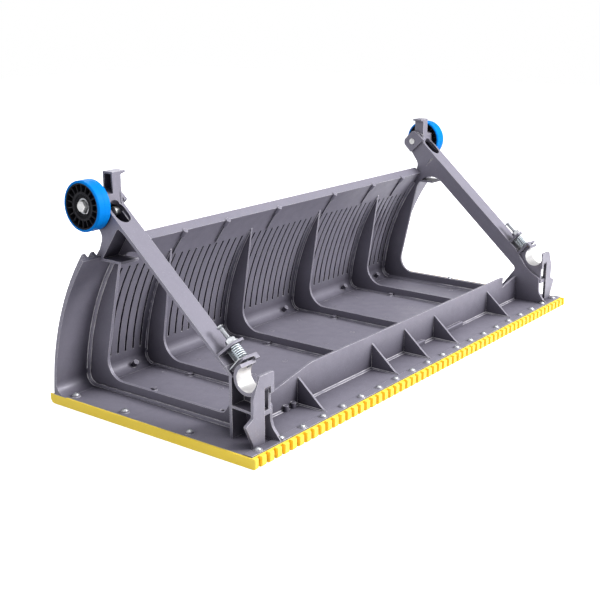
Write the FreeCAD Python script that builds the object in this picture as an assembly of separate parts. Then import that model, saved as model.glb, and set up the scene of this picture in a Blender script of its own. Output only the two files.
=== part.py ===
import FreeCAD, Part
import math
import os

from FreeCAD import Vector

# Escalator step, lying on its tread with the riser at the back, as it is
# stored and shipped. Millimetres. +Z up, X along the step's width, -Y at the
# edge with the comb teeth, +Y at the riser. The origin is on the floor, under
# the middle of the tread. The right-hand parts are at +X.
# While the model is built, y runs back from the tips of the comb teeth, and
# place() moves every finished piece to the origin above.

# Whole step
STEP_WIDTH = 1004.0
STEP_DEPTH = 416.0  # comb tips to riser face, and the riser's radius
CLEAT_PITCH = 8.4667
TOOTH_PITCH = 2 * CLEAT_PITCH
FIT_GAP = 0.1  # between curved faces of the casting's own sections

# Tread
CLEAT_HEIGHT = 10.5
CLEAT_WIDTH = 3.2
TREAD_TOP = 16.0  # inner face of the tread, above the floor
RIM_HEIGHT = 1.5
RIM_WIDTH = 15.0
STRIP_WIDTH = 30.0  # yellow side strip
STRIP_BASE = 3.0
STRIP_LIP = 2.5
STRIP_TOP = 15.6
STRIP_END_RADIUS = 8.0
COMB_DEPTH = 34.0
COMB_COUNT = 5
TOOTH_LENGTH = 8.0
TOOTH_WIDTH = 8.9
TOOTH_NOSE = 5.0
SCREWS_PER_COMB = 4
COMB_SCREW_Y = 16.0
SIDE_SCREW_Y = (133.0, 264.0)
SIDE_SCREW_REAR = 8.0  # last side screw, in front of the corner block
SIDE_SCREW_INSET = 14.0
SCREW_HEAD_RADIUS = 4.8
SCREW_HEAD_HEIGHT = 3.0
SCREW_SHANK_RADIUS = 2.0
SCREW_GRIP = 2.2  # depth in the strip's base
SCREW_BOSS_RADIUS = 6.2
SCREW_BOSS_HEIGHT = 3.0
STUD_RADIUS = 4.6  # ejector studs left on the casting
STUD_HEIGHT = 5.0
STUD_Y = 295.0
DRAIN_X = -394.0
DRAIN_Y = 153.0
DRAIN_RADIUS = 3.2

# Riser, a sector of a ring about the comb tips
RISER_THICKNESS = 14.0
RISER_CLEAT_HEIGHT = 9.0
RISER_CLEAT_WIDTH = 6.4
RISER_ANGLE = 36.8
RIM_ANGLE = 2.4  # plain band above the cleats, between the side frames
RIM_OVERHANG = 3.0
GROOVE_WIDTH = 4.0
GROOVE_DEPTH = 6.5
GROOVE_START = 7.0
GROOVE_END = 31.5
CORNER_RADIUS = 18.0
TOP_STUD_X = (-297.0, -193.0, -55.0, 115.0, 248.0, 357.0)
STUD_RIB = 2.0

# Ribs and cross beam
RIB_THICKNESS = 4.0
RIB_PITCH = 12 * TOOTH_PITCH
RIB_HEIGHT = 16.0
RIB_REACH = 38.0  # how far a rib stands in from the riser at its bend
RIB_TOP_ANGLE = 33.5
RIB_BEND = 36.0
BEAM_Y = 80.0
BEAM_THICKNESS = 4.0
BEAM_HEIGHT = 58.0
BEAM_END_HEIGHT = 37.0
BEAM_NOTCH = 58.0
BEAM_SLOPE = 99.0
BEAM_STRUT_HEIGHT = 49.0
GUSSET_X = (-3.0, -1.0, 0.0, 1.0, 3.0)  # in half rib pitches
GUSSET_THICKNESS = 3.5
GUSSET_HEIGHT = 43.0
GUSSET_FOOT_Y = 24.0
LEDGE_SPANS = ((27.0, 61.0), (104.0, 200.0), (307.0, 345.0))
LEDGE_HEIGHT = 9.0
LEDGE_WIDTH = 6.0
POST_X = (-340.0, -322.0)
POST_HEIGHT = 9.0

# Side frames
WEB_INSET = 72.0  # web's inner face, in from the step's side
WEB_THICKNESS = 5.0
FLANGE_WIDTH = 36.0
FLANGE_THICKNESS = 5.0
ARM_DEPTH = 28.0
WEB_FOOT = 18.0  # strip of web left under the window
WINDOW_REAR_INSET = 40.0
WINDOW_REAR_LEAN = 77.5
WINDOW_REAR_RADIUS = 30.0
WINDOW_TOP_RADIUS = 38.0
WINDOW_FRONT_RADIUS = 8.0
WINDOW_FRONT_LEAN = 28.0

# Trailing roller
ROLLER_Y = 331.0
ROLLER_Z = 320.0
ROLLER_RADIUS = 38.0
ROLLER_WIDTH = 24.0
ROLLER_SIDE_GAP = 2.0
TYRE_THICKNESS = 3.7
HUB_RIM = 2.0
HUB_WINDOWS = 18
HUB_SPOKE = 1.5
HUB_WINDOW_IN = 21.5
HUB_WEB = 3.0
HUB_RECESS = 2.0
BEARING_OUTER_RADIUS = 12.0
BEARING_BORE_RADIUS = 6.0
BEARING_WIDTH = 12.0
RACE_THICKNESS = 1.4
BALL_COUNT = 11
BALL_CLEARANCE = 0.03
SHAFT_CLEARANCE = 0.03
BOLT_HEAD_ACROSS = 15.0
BOLT_HEAD_HEIGHT = 6.5
BOSS_RADIUS = 15.0
SPACER_RADIUS = 9.5

# Head of the side frame
HEAD_PROUD = 5.0  # pad round the roller bolt, on the web's inner side
FIN_SETBACK = 2.0
FIN_DEPTH = 17.0
FIN_WIDTH = 20.0
FIN_WALL = 3.0
FIN_TOP = 367.0
FIN_TIP = 9.0
SLOT_LENGTH = 40.0
SLOT_WIDTH = 26.0
HOLLOW_SKIN = 5.0
HOLLOW_FLOOR = 3.0
HOLLOW_BEYOND = 11.0  # past the roller bolt
HOLLOW_WALL = 4.0
HEAD_SCREW_BACK = 19.0  # screw inside the head, down the arm from the roller bolt
HEAD_SCREW_RADIUS = 7.0
HEAD_SCREW_HEIGHT = 9.0
HEAD_SCREW_SHANK = 3.5
ROLLER_NUT_HEIGHT = 7.0
SHELF_THICKNESS = 4.0

# Axle seat
SEAT_Y = 44.0
SEAT_Z = 109.0
SEAT_RADIUS = 18.0
SEAT_WALL = 5.5
SEAT_PLATE = 5.0
SEAT_RELIEF = 1.0  # the axle's way past what stands beside the seat
MOUTH_REAR_ANGLE = 62.0
MOUTH_FRONT_ANGLE = 196.0
ARM_OFFSET = 16.4  # arm's top face below the lock pin's axis
ROLLER_OFFSET = 31.5  # roller axis below the lock pin's axis
LEG_FRONT_Y = 23.0
LEG_WALL = 5.0
LEG_REAR_Y = 71.0
LEG_DIVIDER_Z = 61.0
HORN_TOP = 118.0
HORN_SETBACK = 2.0
HORN_WIDTH = 31.0
LEG_OFFSET = 23.0  # leg's inner edge, out from the web's inner face
LEG_WIDTH = 24.0
TAB_PROUD = 16.0
STOP_WALL_THICKNESS = 3.6

# Spring lock, measured back from the seat's centre along the arm
PIN_OFFSET = 14.0  # pin's axis, out from the web's inner face
PIN_RADIUS = 4.5
PIN_TIP = 18.2
PIN_TAIL = 90.0
TAIL_RADIUS = 3.0
PIN_CLEARANCE = 0.08
CHEEK_NEAR = 24.5
CHEEK_FAR = 28.5
CHEEK_RISE = 13.0
CHEEK_PROUD = 1.0
GUARD_THICKNESS = 1.4
GUARD_RISE = 9.0
TONGUE_WIDTH = 16.0
TONGUE_GAP = 1.2  # under the spring
COLLAR_RADIUS = 8.4
COLLAR_LENGTH = 1.6
SPRING_WIRE = 0.85  # radius
SPRING_RADIUS = 6.9  # centre of the wire
SPRING_TURNS = 6
SPRING_FIT = 0.3
STOP_WALL_FAR = 57.0
STOP_WALL_RISE = 11.0
LOCK_WASHER_RADIUS = 10.5
LOCK_WASHER_THICKNESS = 1.8
LOCK_NUT_ACROSS = 14.0
LOCK_NUT_HEIGHT = 6.5
CLIP_RADIUS = 5.2
CLIP_THICKNESS = 2.4

RISER_INNER = STEP_DEPTH - RISER_THICKNESS
RISER_ROOT = STEP_DEPTH - RISER_CLEAT_HEIGHT
HALF_WIDTH = STEP_WIDTH / 2
STRIP_Z = CLEAT_HEIGHT + STRIP_BASE
STRIP_INNER_X = HALF_WIDTH - STRIP_WIDTH
WEB_INNER_X = HALF_WIDTH - WEB_INSET
WEB_OUTER_X = WEB_INNER_X + WEB_THICKNESS
FLANGE_OUTER_X = WEB_INNER_X + FLANGE_WIDTH
HEAD_INNER_X = WEB_INNER_X - HEAD_PROUD
FIN_INNER_X = WEB_INNER_X + FIN_SETBACK
FIN_OUTER_X = FIN_INNER_X + FIN_DEPTH
HORN_INNER_X = WEB_INNER_X + HORN_SETBACK
HORN_OUTER_X = HORN_INNER_X + HORN_WIDTH
LEG_INNER_X = WEB_INNER_X + LEG_OFFSET
LEG_OUTER_X = LEG_INNER_X + LEG_WIDTH
TAB_OUTER_X = LEG_OUTER_X + TAB_PROUD
PIN_X = WEB_INNER_X + PIN_OFFSET
CHEEK_INNER_X = WEB_INNER_X - CHEEK_PROUD
CORNER_SPLIT = RISER_INNER - CORNER_RADIUS - 4.0
ROLLER_INNER_X = FLANGE_OUTER_X + ROLLER_SIDE_GAP
ROLLER_OUTER_X = ROLLER_INNER_X + ROLLER_WIDTH
ROLLER_MID_X = (ROLLER_INNER_X + ROLLER_OUTER_X) / 2
HUB_RADIUS = ROLLER_RADIUS - TYRE_THICKNESS
BEARING_IN_X = ROLLER_MID_X - BEARING_WIDTH / 2
BEARING_OUT_X = ROLLER_MID_X + BEARING_WIDTH / 2

reach_y = ROLLER_Y - SEAT_Y
reach_z = ROLLER_Z - SEAT_Z
REACH = math.hypot(reach_y, reach_z)
ARM_ANGLE = math.atan2(reach_z, reach_y) + math.asin(ROLLER_OFFSET / REACH)
ROLLER_T = math.sqrt(REACH ** 2 - ROLLER_OFFSET ** 2)
COS_ARM = math.cos(ARM_ANGLE)
SIN_ARM = math.sin(ARM_ANGLE)

os.makedirs("parts", exist_ok=True)


def arm_point(t, w):
    """(y, z) of a point t back along the lock pin's axis and w above it."""
    y = SEAT_Y + t * COS_ARM - w * SIN_ARM
    z = SEAT_Z + t * SIN_ARM + w * COS_ARM
    return y, z


def on_arm(y, w):
    """(y, z) of the point at depth y on the line w above the pin's axis."""
    t = (y - SEAT_Y + w * SIN_ARM) / COS_ARM
    return arm_point(t, w)


def box(x0, x1, y0, y1, z0, z1):
    corner = Vector(min(x0, x1), min(y0, y1), min(z0, z1))
    return Part.makeBox(abs(x1 - x0), abs(y1 - y0), abs(z1 - z0), corner)


def rounded_wire(points, radii):
    """Closed wire through 3D points, with each corner rounded to its radius."""
    edges = []
    count = len(points)
    starts = []
    ends = []
    arcs = []
    for i in range(count):
        here = points[i]
        back = points[i - 1] - here
        ahead = points[(i + 1) % count] - here
        back_length = back.Length
        ahead_length = ahead.Length
        back.normalize()
        ahead.normalize()
        half = math.acos(max(-1.0, min(1.0, back.dot(ahead)))) / 2
        radius = radii[i]
        if radius <= 0 or half > math.pi / 2 - 0.01:
            starts.append(here)
            ends.append(here)
            arcs.append(None)
            continue
        setback = radius / math.tan(half)
        limit = 0.48 * min(back_length, ahead_length)
        if setback > limit:
            setback = limit
            radius = setback * math.tan(half)
        middle = back + ahead
        middle.normalize()
        centre = here + middle * (radius / math.sin(half))
        starts.append(here + back * setback)
        ends.append(here + ahead * setback)
        arcs.append(centre - middle * radius)
    for i in range(count):
        if arcs[i] is not None:
            edges.append(Part.Arc(starts[i], arcs[i], ends[i]).toShape())
        following = starts[(i + 1) % count]
        if (following - ends[i]).Length > 1e-6:
            edges.append(Part.makeLine(ends[i], following))
    return Part.Wire(edges)


def yz_prism(outline, x0, x1, radii=None):
    """Prism along X of an outline given as (y, z) points."""
    low = min(x0, x1)
    points = [Vector(low, y, z) for y, z in outline]
    radii = radii or [0] * len(points)
    face = Part.Face(rounded_wire(points, radii))
    return face.extrude(Vector(abs(x1 - x0), 0, 0))


def xz_prism(outline, y0, y1, radii=None):
    """Prism along Y of an outline given as (x, z) points."""
    low = min(y0, y1)
    points = [Vector(x, low, z) for x, z in outline]
    radii = radii or [0] * len(points)
    face = Part.Face(rounded_wire(points, radii))
    return face.extrude(Vector(0, abs(y1 - y0), 0))


def rod(radius, start, end):
    """Round bar between two points."""
    along = end - start
    return Part.makeCylinder(radius, along.Length, start, along)


def x_rod(radius, x0, x1, y, z):
    return rod(radius, Vector(x0, y, z), Vector(x1, y, z))


def arm_vector(t, w, x=PIN_X):
    y, z = arm_point(t, w)
    return Vector(x, y, z)


def arm_rod(radius, t0, t1):
    return rod(radius, arm_vector(t0, 0), arm_vector(t1, 0))


def arm_ring(outer, inner, t0, t1):
    return arm_rod(outer, t0, t1).cut(arm_rod(inner, t0 - 1, t1 + 1))


def hexagon(across, start, along, height):
    """Hexagonal prism, flat to flat, from start along a direction."""
    axis = Vector(along)
    axis.normalize()
    side = axis.cross(Vector(0, 0, 1))
    if side.Length < 0.1:
        side = axis.cross(Vector(0, 1, 0))
    side.normalize()
    other = axis.cross(side)
    reach = across / math.sqrt(3)
    points = []
    for i in range(6):
        turn = math.radians(60 * i)
        points.append(start + side * (reach * math.cos(turn)) + other * (reach * math.sin(turn)))
    prism = Part.Face(Part.makePolygon(points + [points[0]])).extrude(axis * height)
    crown = Part.makeCone(
        reach + height * 0.9, reach - 0.9, height * 1.0, start, axis
    )
    return prism.common(crown)


def fused(shapes):
    whole = shapes[0]
    if len(shapes) > 1:
        whole = whole.fuse(shapes[1:])
    return whole.removeSplitter()


def mirrored(shape):
    return shape.mirror(Vector(0, 0, 0), Vector(1, 0, 0))


def place(shape):
    moved = shape.copy()
    moved.translate(Vector(0, -STEP_DEPTH / 2, 0))
    return moved


def write(name, shape):
    place(shape).exportStep("parts/" + name + ".step")


def write_pair(name, shape):
    """The part at +X and its mirror image at -X."""
    write("right_" + name, shape)
    write("left_" + name, mirrored(shape))


def within_webs(places):
    return [x for x in places if abs(x) < WEB_INNER_X - 2 * STUD_RADIUS]


def repeated(reach, pitch, offset=0.0):
    """Places at a pitch either side of the middle, out to a reach."""
    places = []
    steps = int(math.ceil(reach / pitch)) + 1
    for i in range(-steps, steps + 1):
        x = offset + i * pitch
        if abs(x) <= reach:
            places.append(x)
    return places


# Tread


def comb_section(x0, x1, pitch, width, low, high, offset=0.0):
    """(x, depth) outline of a row of cleats that hang from high to low."""
    outline = [(x1, high), (x0, high)]
    x = x0
    for middle in repeated(max(abs(x0), abs(x1)), pitch, offset):
        left = middle - width / 2
        right = middle + width / 2
        if left < x0 + 0.01 or right > x1 - 0.01:
            continue
        outline += [(left, high), (left, low), (right, low), (right, high)]
        x = right
    cleaned = []
    for point in outline:
        if not cleaned or point != cleaned[-1]:
            cleaned.append(point)
    return cleaned


def cleat_rows(x0, x1, y0, y1):
    """Tread cleats with the plate they hang from, as one prism."""
    top = TREAD_TOP
    outline = [(x1, CLEAT_HEIGHT), (x1, top), (x0, top), (x0, CLEAT_HEIGHT)]
    for middle in repeated(HALF_WIDTH, CLEAT_PITCH):
        left = middle - CLEAT_WIDTH / 2
        right = middle + CLEAT_WIDTH / 2
        if left > x0 + 0.5 and right < x1 - 0.5:
            outline += [(left, CLEAT_HEIGHT), (left, 0), (right, 0), (right, CLEAT_HEIGHT)]
    return xz_prism(outline, y0, y1)


def screw_places():
    """(x, y) of every strip screw: the comb row, then both sides."""
    count = COMB_COUNT * SCREWS_PER_COMB
    pitch = STEP_WIDTH / count
    comb = [(-HALF_WIDTH + (i + 0.5) * pitch, COMB_SCREW_Y) for i in range(count)]
    side_x = HALF_WIDTH - SIDE_SCREW_INSET
    depths = list(SIDE_SCREW_Y) + [CORNER_SPLIT - SIDE_SCREW_REAR]
    left = [(-side_x, y) for y in depths]
    right = [(side_x, y) for y in depths]
    return comb, left, right


def screw_hole(x, y, radius):
    return rod(radius, Vector(x, y, -1), Vector(x, y, TREAD_TOP + 20))


def tread_plate():
    middle = cleat_rows(-STRIP_INNER_X, STRIP_INNER_X, COMB_DEPTH, CORNER_SPLIT)
    flanges = [
        box(-HALF_WIDTH + STRIP_LIP, -STRIP_INNER_X, COMB_DEPTH, CORNER_SPLIT, STRIP_Z, TREAD_TOP),
        box(STRIP_INNER_X, HALF_WIDTH - STRIP_LIP, COMB_DEPTH, CORNER_SPLIT, STRIP_Z, TREAD_TOP),
        box(
            -HALF_WIDTH + STRIP_LIP, HALF_WIDTH - STRIP_LIP,
            TOOTH_LENGTH, COMB_DEPTH, STRIP_Z, TREAD_TOP,
        ),
        box(
            -HALF_WIDTH + STRIP_LIP, HALF_WIDTH - STRIP_LIP,
            TOOTH_LENGTH, TOOTH_LENGTH + RIM_WIDTH, TREAD_TOP, TREAD_TOP + RIM_HEIGHT,
        ),
    ]
    comb, left, right = screw_places()
    bosses = []
    for x, y in comb + left + right:
        boss_top = TREAD_TOP + SCREW_BOSS_HEIGHT
        bosses.append(rod(SCREW_BOSS_RADIUS, Vector(x, y, STRIP_Z), Vector(x, y, boss_top)))
    for x in stud_places():
        bosses.append(rod(STUD_RADIUS, Vector(x, STUD_Y, CLEAT_HEIGHT), Vector(x, STUD_Y, TREAD_TOP + STUD_HEIGHT)))
    plate = fused([middle] + flanges + bosses)
    holes = [screw_hole(x, y, SCREW_SHANK_RADIUS) for x, y in comb + left + right]
    holes.append(rod(DRAIN_RADIUS, Vector(DRAIN_X, DRAIN_Y, -1), Vector(DRAIN_X, DRAIN_Y, TREAD_TOP + 1)))
    return plate.cut(holes)


def rib_places():
    return repeated(WEB_INNER_X - RIB_THICKNESS, RIB_PITCH, RIB_PITCH / 2)


def stud_places():
    beside = [x - RIB_THICKNESS / 2 - STUD_RADIUS for x in rib_places()]
    return [-WEB_INNER_X + 34.0] + beside


def side_strip():
    """Yellow strip let into the right-hand edge, with its own cleats."""
    inner = STRIP_INNER_X
    outer = HALF_WIDTH
    lip = outer - STRIP_LIP
    outline = [
        (inner, STRIP_Z), (inner, CLEAT_HEIGHT), (lip, CLEAT_HEIGHT), (lip, 0),
        (outer, 0), (outer, STRIP_TOP), (lip, STRIP_TOP), (lip, STRIP_Z),
    ]
    bar = xz_prism(outline, COMB_DEPTH, STEP_DEPTH)
    cleats = []
    for x in repeated(HALF_WIDTH, CLEAT_PITCH):
        if inner + CLEAT_WIDTH / 2 < x < lip - CLEAT_WIDTH:
            half = CLEAT_WIDTH / 2
            cleats.append(box(x - half, x + half, COMB_DEPTH, STEP_DEPTH, 0, CLEAT_HEIGHT + 0.5))
    strip = fused([bar] + cleats)
    strip = strip.cut(heel_cut())
    comb, left, right = screw_places()
    for x, y in right:
        strip = strip.cut(strip_pilot(x, y))
    return strip


def strip_pilot(x, y):
    """Blind hole that a strip screw bites into."""
    low = STRIP_Z - SCREW_GRIP
    return rod(SCREW_SHANK_RADIUS, Vector(x, y, low), Vector(x, y, STRIP_Z + 5))


def heel_cut():
    """What the rounding takes off the step's lower rear edge."""
    r = STRIP_END_RADIUS
    square = box(-HALF_WIDTH - 1, HALF_WIDTH + 1, STEP_DEPTH - r, STEP_DEPTH + 5, -5, r)
    round_bar = x_rod(r, -HALF_WIDTH - 2, HALF_WIDTH + 2, STEP_DEPTH - r, r)
    return square.cut(round_bar)


def comb_strip(index):
    """One length of yellow comb strip, teeth forward, cleats below."""
    length = STEP_WIDTH / COMB_COUNT
    x0 = -HALF_WIDTH + index * length
    x1 = x0 + length
    backing = [
        box(x0, x1, TOOTH_LENGTH, COMB_DEPTH, CLEAT_HEIGHT, STRIP_Z),
        box(x0, x1, TOOTH_LENGTH - 1.6, TOOTH_LENGTH, 1.5, STRIP_TOP),
    ]
    if index == 0:
        backing.append(box(x0, x0 + STRIP_LIP, TOOTH_LENGTH, COMB_DEPTH, 0, STRIP_TOP))
    if index == COMB_COUNT - 1:
        backing.append(box(x1 - STRIP_LIP, x1, TOOTH_LENGTH, COMB_DEPTH, 0, STRIP_TOP))
    back = TOOTH_LENGTH - 0.8
    nose = [(back, 0), (0, 0), (0, STRIP_TOP), (back, STRIP_TOP)]
    for x in repeated(HALF_WIDTH + TOOTH_PITCH, TOOTH_PITCH, TOOTH_PITCH / 2):
        left = max(x - TOOTH_WIDTH / 2, x0)
        right = min(x + TOOTH_WIDTH / 2, x1)
        if right - left > 1.0:
            backing.append(yz_prism(nose, left, right, [0, TOOTH_NOSE, 1.2, 0]))
    for x in repeated(HALF_WIDTH, CLEAT_PITCH):
        left = max(x - CLEAT_WIDTH / 2, x0)
        right = min(x + CLEAT_WIDTH / 2, x1)
        if right - left > 1.0:
            backing.append(box(left, right, TOOTH_LENGTH - 0.8, COMB_DEPTH, 0, CLEAT_HEIGHT + 0.5))
    strip = fused(backing)
    comb, left_side, right_side = screw_places()
    pilots = [strip_pilot(x, y) for x, y in comb if x0 < x < x1]
    return strip.cut(pilots)


def strip_screw(x, y):
    seat = TREAD_TOP + SCREW_BOSS_HEIGHT
    shank = rod(SCREW_SHANK_RADIUS, Vector(x, y, STRIP_Z - SCREW_GRIP), Vector(x, y, seat + 0.5))
    dome_radius = (SCREW_HEAD_RADIUS ** 2 + SCREW_HEAD_HEIGHT ** 2) / (2 * SCREW_HEAD_HEIGHT)
    ball = Part.makeSphere(dome_radius, Vector(x, y, seat + SCREW_HEAD_HEIGHT - dome_radius))
    slab = rod(SCREW_HEAD_RADIUS + 1, Vector(x, y, seat), Vector(x, y, seat + SCREW_HEAD_HEIGHT))
    head = ball.common(slab)
    top = seat + SCREW_HEAD_HEIGHT
    drive = box(x - 2.2, x + 2.2, y - 0.5, y + 0.5, top - 1.4, top + 1)
    cross = box(x - 0.5, x + 0.5, y - 2.2, y + 2.2, top - 1.4, top + 1)
    return shank.fuse(head).cut([drive, cross])


# Riser


def riser_section():
    """(x, radius) outline of the cleated riser."""
    outline = [(HALF_WIDTH, RISER_ROOT), (HALF_WIDTH, RISER_INNER)]
    outline += [(-HALF_WIDTH, RISER_INNER), (-HALF_WIDTH, RISER_ROOT)]
    for x in repeated(HALF_WIDTH, TOOTH_PITCH):
        left = x - RISER_CLEAT_WIDTH / 2
        right = x + RISER_CLEAT_WIDTH / 2
        if right < HALF_WIDTH - 1 and left > -HALF_WIDTH + 1:
            outline += [(left, RISER_ROOT), (left, STEP_DEPTH), (right, STEP_DEPTH), (right, RISER_ROOT)]
    return outline


def ring_sector(outline, start, end):
    """Sector about the comb tips of an (x, radius) outline, in degrees."""
    points = [Vector(x, r, 0) for x, r in outline]
    face = Part.Face(Part.makePolygon(points + [points[0]]))
    face.rotate(Vector(0, 0, 0), Vector(1, 0, 0), start)
    return face.revolve(Vector(0, 0, 0), Vector(1, 0, 0), end - start)


def sector_box(x0, x1, r0, r1, start, end):
    return ring_sector([(x0, r0), (x1, r0), (x1, r1), (x0, r1)], start, end)


def on_ring(x, radius, angle):
    turn = math.radians(angle)
    return Vector(x, radius * math.cos(turn), radius * math.sin(turn))


def corner_point():
    """Centre of the inside corner radius between tread and riser."""
    z = TREAD_TOP + CORNER_RADIUS
    y = math.sqrt((RISER_INNER - CORNER_RADIUS) ** 2 - z ** 2)
    return y, z


def corner_block(gap=0.0):
    """Wedge of metal that rounds the inside corner, grown by a gap."""
    y, z = corner_point()
    reach = CORNER_RADIUS - gap
    touch_angle = math.atan2(z, y)
    touch = Vector(0, (RISER_INNER - gap) * math.cos(touch_angle), (RISER_INNER - gap) * math.sin(touch_angle))
    foot = Vector(0, y, TREAD_TOP + gap)
    aim = Vector(0, math.cos(touch_angle), math.sin(touch_angle)) + Vector(0, 0, -1)
    aim.normalize()
    crown = Vector(0, y, z) + aim * reach
    edges = [
        Part.Arc(touch, crown, foot).toShape(),
        Part.makeLine(foot, Vector(0, y, 0)),
        Part.makeLine(Vector(0, y, 0), Vector(0, STEP_DEPTH - 6, 0)),
        Part.makeLine(Vector(0, STEP_DEPTH - 6, 0), touch),
    ]
    return Part.Face(Part.Wire(edges))


def riser_plate():
    top = RISER_ANGLE + RIM_ANGLE
    shell = ring_sector(riser_section(), 0.0, RISER_ANGLE)
    rim = sector_box(
        -WEB_INNER_X, WEB_INNER_X, RISER_INNER, STEP_DEPTH + RIM_OVERHANG, RISER_ANGLE - 0.6, top
    )
    y, z = corner_point()
    corner = corner_block()
    corner.translate(Vector(-HALF_WIDTH, 0, 0))
    corner = corner.extrude(Vector(STEP_WIDTH, 0, 0))
    corner = corner.common(box(-HALF_WIDTH, HALF_WIDTH, y - 1, RISER_INNER + 2, CLEAT_HEIGHT, 200))
    heel = cleat_rows(-HALF_WIDTH, HALF_WIDTH, CORNER_SPLIT, RISER_INNER + 1)
    pieces = [shell, rim, corner, heel]
    for x in within_webs(TOP_STUD_X):
        pieces.append(sector_box(
            x - STUD_RIB / 2, x + STUD_RIB / 2, RISER_INNER - 3, RISER_INNER + 1, GROOVE_END + 0.5, top - 0.3
        ))
        low = on_ring(x, RISER_INNER - 1, top - 1.6)
        high = on_ring(x, RISER_INNER - 1, top + 0.25)
        pieces.append(rod(STUD_RADIUS, low, high))
    for x in rib_places() + [WEB_INNER_X]:
        base = Vector(x - 38.0, y + 6, z - 6)
        pieces.append(rod(STUD_RADIUS, base + Vector(0, 10, -10), base + Vector(0, -1, 1)))
    whole = fused(pieces)
    grooves = []
    deep = RISER_INNER + GROOVE_DEPTH
    for x in repeated(WEB_INNER_X - GROOVE_WIDTH, TOOTH_PITCH):
        near_rib = min(abs(x - rib) for rib in rib_places() + [WEB_INNER_X, -WEB_INNER_X])
        if near_rib > RIB_THICKNESS / 2 + GROOVE_WIDTH / 2:
            grooves.append(sector_box(
                x - GROOVE_WIDTH / 2, x + GROOVE_WIDTH / 2, RISER_INNER - 5, deep, GROOVE_START, GROOVE_END
            ))
    whole = whole.cut(grooves)
    pockets = [
        box(STRIP_INNER_X, HALF_WIDTH + 1, 0, STEP_DEPTH + 9, -1, STRIP_Z),
        box(HALF_WIDTH - STRIP_LIP, HALF_WIDTH + 1, 0, STEP_DEPTH + 9, -1, STRIP_TOP),
        box(-STRIP_INNER_X, -HALF_WIDTH - 1, 0, STEP_DEPTH + 9, -1, STRIP_Z),
        box(-HALF_WIDTH + STRIP_LIP, -HALF_WIDTH - 1, 0, STEP_DEPTH + 9, -1, STRIP_TOP),
        heel_cut(),
    ]
    return whole.cut(pockets)


# Ribs and cross beam


def rib(x):
    """One stiffening rib, from the cross beam along the tread and up the riser."""
    low = TREAD_TOP + RIB_HEIGHT
    skin = RISER_INNER - FIT_GAP
    top = on_ring(0, skin, RIB_TOP_ANGLE)
    bend_y = RISER_INNER - RIB_REACH
    outline = [
        (BEAM_Y + BEAM_THICKNESS / 2, TREAD_TOP),
        (BEAM_Y + BEAM_THICKNESS / 2, low),
        (bend_y, low),
        (top.y, top.z),
        (skin + 20, top.z),
        (skin + 20, TREAD_TOP),
    ]
    plate = yz_prism(outline, x - RIB_THICKNESS / 2, x + RIB_THICKNESS / 2, [0, 0, RIB_BEND, 0, 0, 0])
    return trimmed_to_riser(plate, x - RIB_THICKNESS, x + RIB_THICKNESS)


def trimmed_to_riser(plate, x0, x1):
    """The plate less what lies in the riser and in its rounded corner."""
    keep = Part.makeCylinder(RISER_INNER - FIT_GAP, abs(x1 - x0), Vector(min(x0, x1), 0, 0), Vector(1, 0, 0))
    trimmed = plate.common(keep)
    corner = corner_block(FIT_GAP)
    corner.translate(Vector(min(x0, x1), 0, 0))
    return trimmed.cut(corner.extrude(Vector(abs(x1 - x0), 0, 0)))


def cross_beam():
    end = WEB_INNER_X
    notch = end - BEAM_NOTCH
    full = TREAD_TOP + BEAM_HEIGHT
    low = TREAD_TOP + BEAM_END_HEIGHT
    strut = TREAD_TOP + BEAM_STRUT_HEIGHT
    outline = [
        (-end, TREAD_TOP), (-end, strut), (-notch, low), (-notch + BEAM_SLOPE, full),
        (notch, full), (notch - 3.0, low), (end, strut), (end, TREAD_TOP),
    ]
    face_y = BEAM_Y - BEAM_THICKNESS / 2
    wall = xz_prism(outline, face_y, face_y + BEAM_THICKNESS, [0, 0, 3, 20, 1, 2, 0, 0])
    pieces = [wall]
    for step in GUSSET_X:
        x = step * RIB_PITCH / 2
        profile = [
            (face_y + 1, TREAD_TOP),
            (face_y + 1, TREAD_TOP + GUSSET_HEIGHT),
            (face_y - 1, TREAD_TOP + GUSSET_HEIGHT),
            (GUSSET_FOOT_Y + 8, TREAD_TOP + 3.5),
            (GUSSET_FOOT_Y, TREAD_TOP),
        ]
        half = GUSSET_THICKNESS / 2
        pieces.append(yz_prism(profile, x - half, x + half, [0, 0, 0, 14, 0]))
    for left, right in LEDGE_SPANS:
        profile = [
            (face_y + 1, TREAD_TOP), (face_y + 1, TREAD_TOP + LEDGE_HEIGHT),
            (face_y - LEDGE_WIDTH, TREAD_TOP + LEDGE_HEIGHT), (face_y - LEDGE_WIDTH, TREAD_TOP),
        ]
        pieces.append(yz_prism(profile, left, right, [0, 0, 2.5, 0]))
    for x in within_webs(POST_X):
        y = face_y - STUD_RADIUS + 1
        pieces.append(rod(STUD_RADIUS, Vector(x, y, TREAD_TOP), Vector(x, y, TREAD_TOP + POST_HEIGHT)))
    return fused(pieces)


# Side frame


def window_outline():
    """Corners of the triangular window and their radii."""
    bottom = TREAD_TOP + WEB_FOOT
    under = -ARM_OFFSET - ARM_DEPTH
    rear_low_y = RISER_INNER - WINDOW_REAR_INSET
    lean = math.radians(WINDOW_REAR_LEAN)
    # the rear side leans forward, and meets the arm's lower edge at the top
    base_y, base_z = arm_point(0, under)
    slope = math.tan(ARM_ANGLE)
    run = (base_z + slope * (rear_low_y - base_y) - bottom) / (math.tan(lean) + slope)
    top = (rear_low_y - run, bottom + run * math.tan(lean))
    front_y = LEG_REAR_Y + LEG_WALL + 4.0
    front_z = base_z + slope * (front_y - base_y)
    drop = (front_z - bottom) * math.tan(math.radians(WINDOW_FRONT_LEAN)) + 9.0
    outline = [(rear_low_y, bottom), top, (front_y, front_z), (front_y + drop, bottom)]
    radii = [WINDOW_REAR_RADIUS, WINDOW_TOP_RADIUS, WINDOW_FRONT_RADIUS, WINDOW_FRONT_RADIUS]
    return outline, radii


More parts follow.
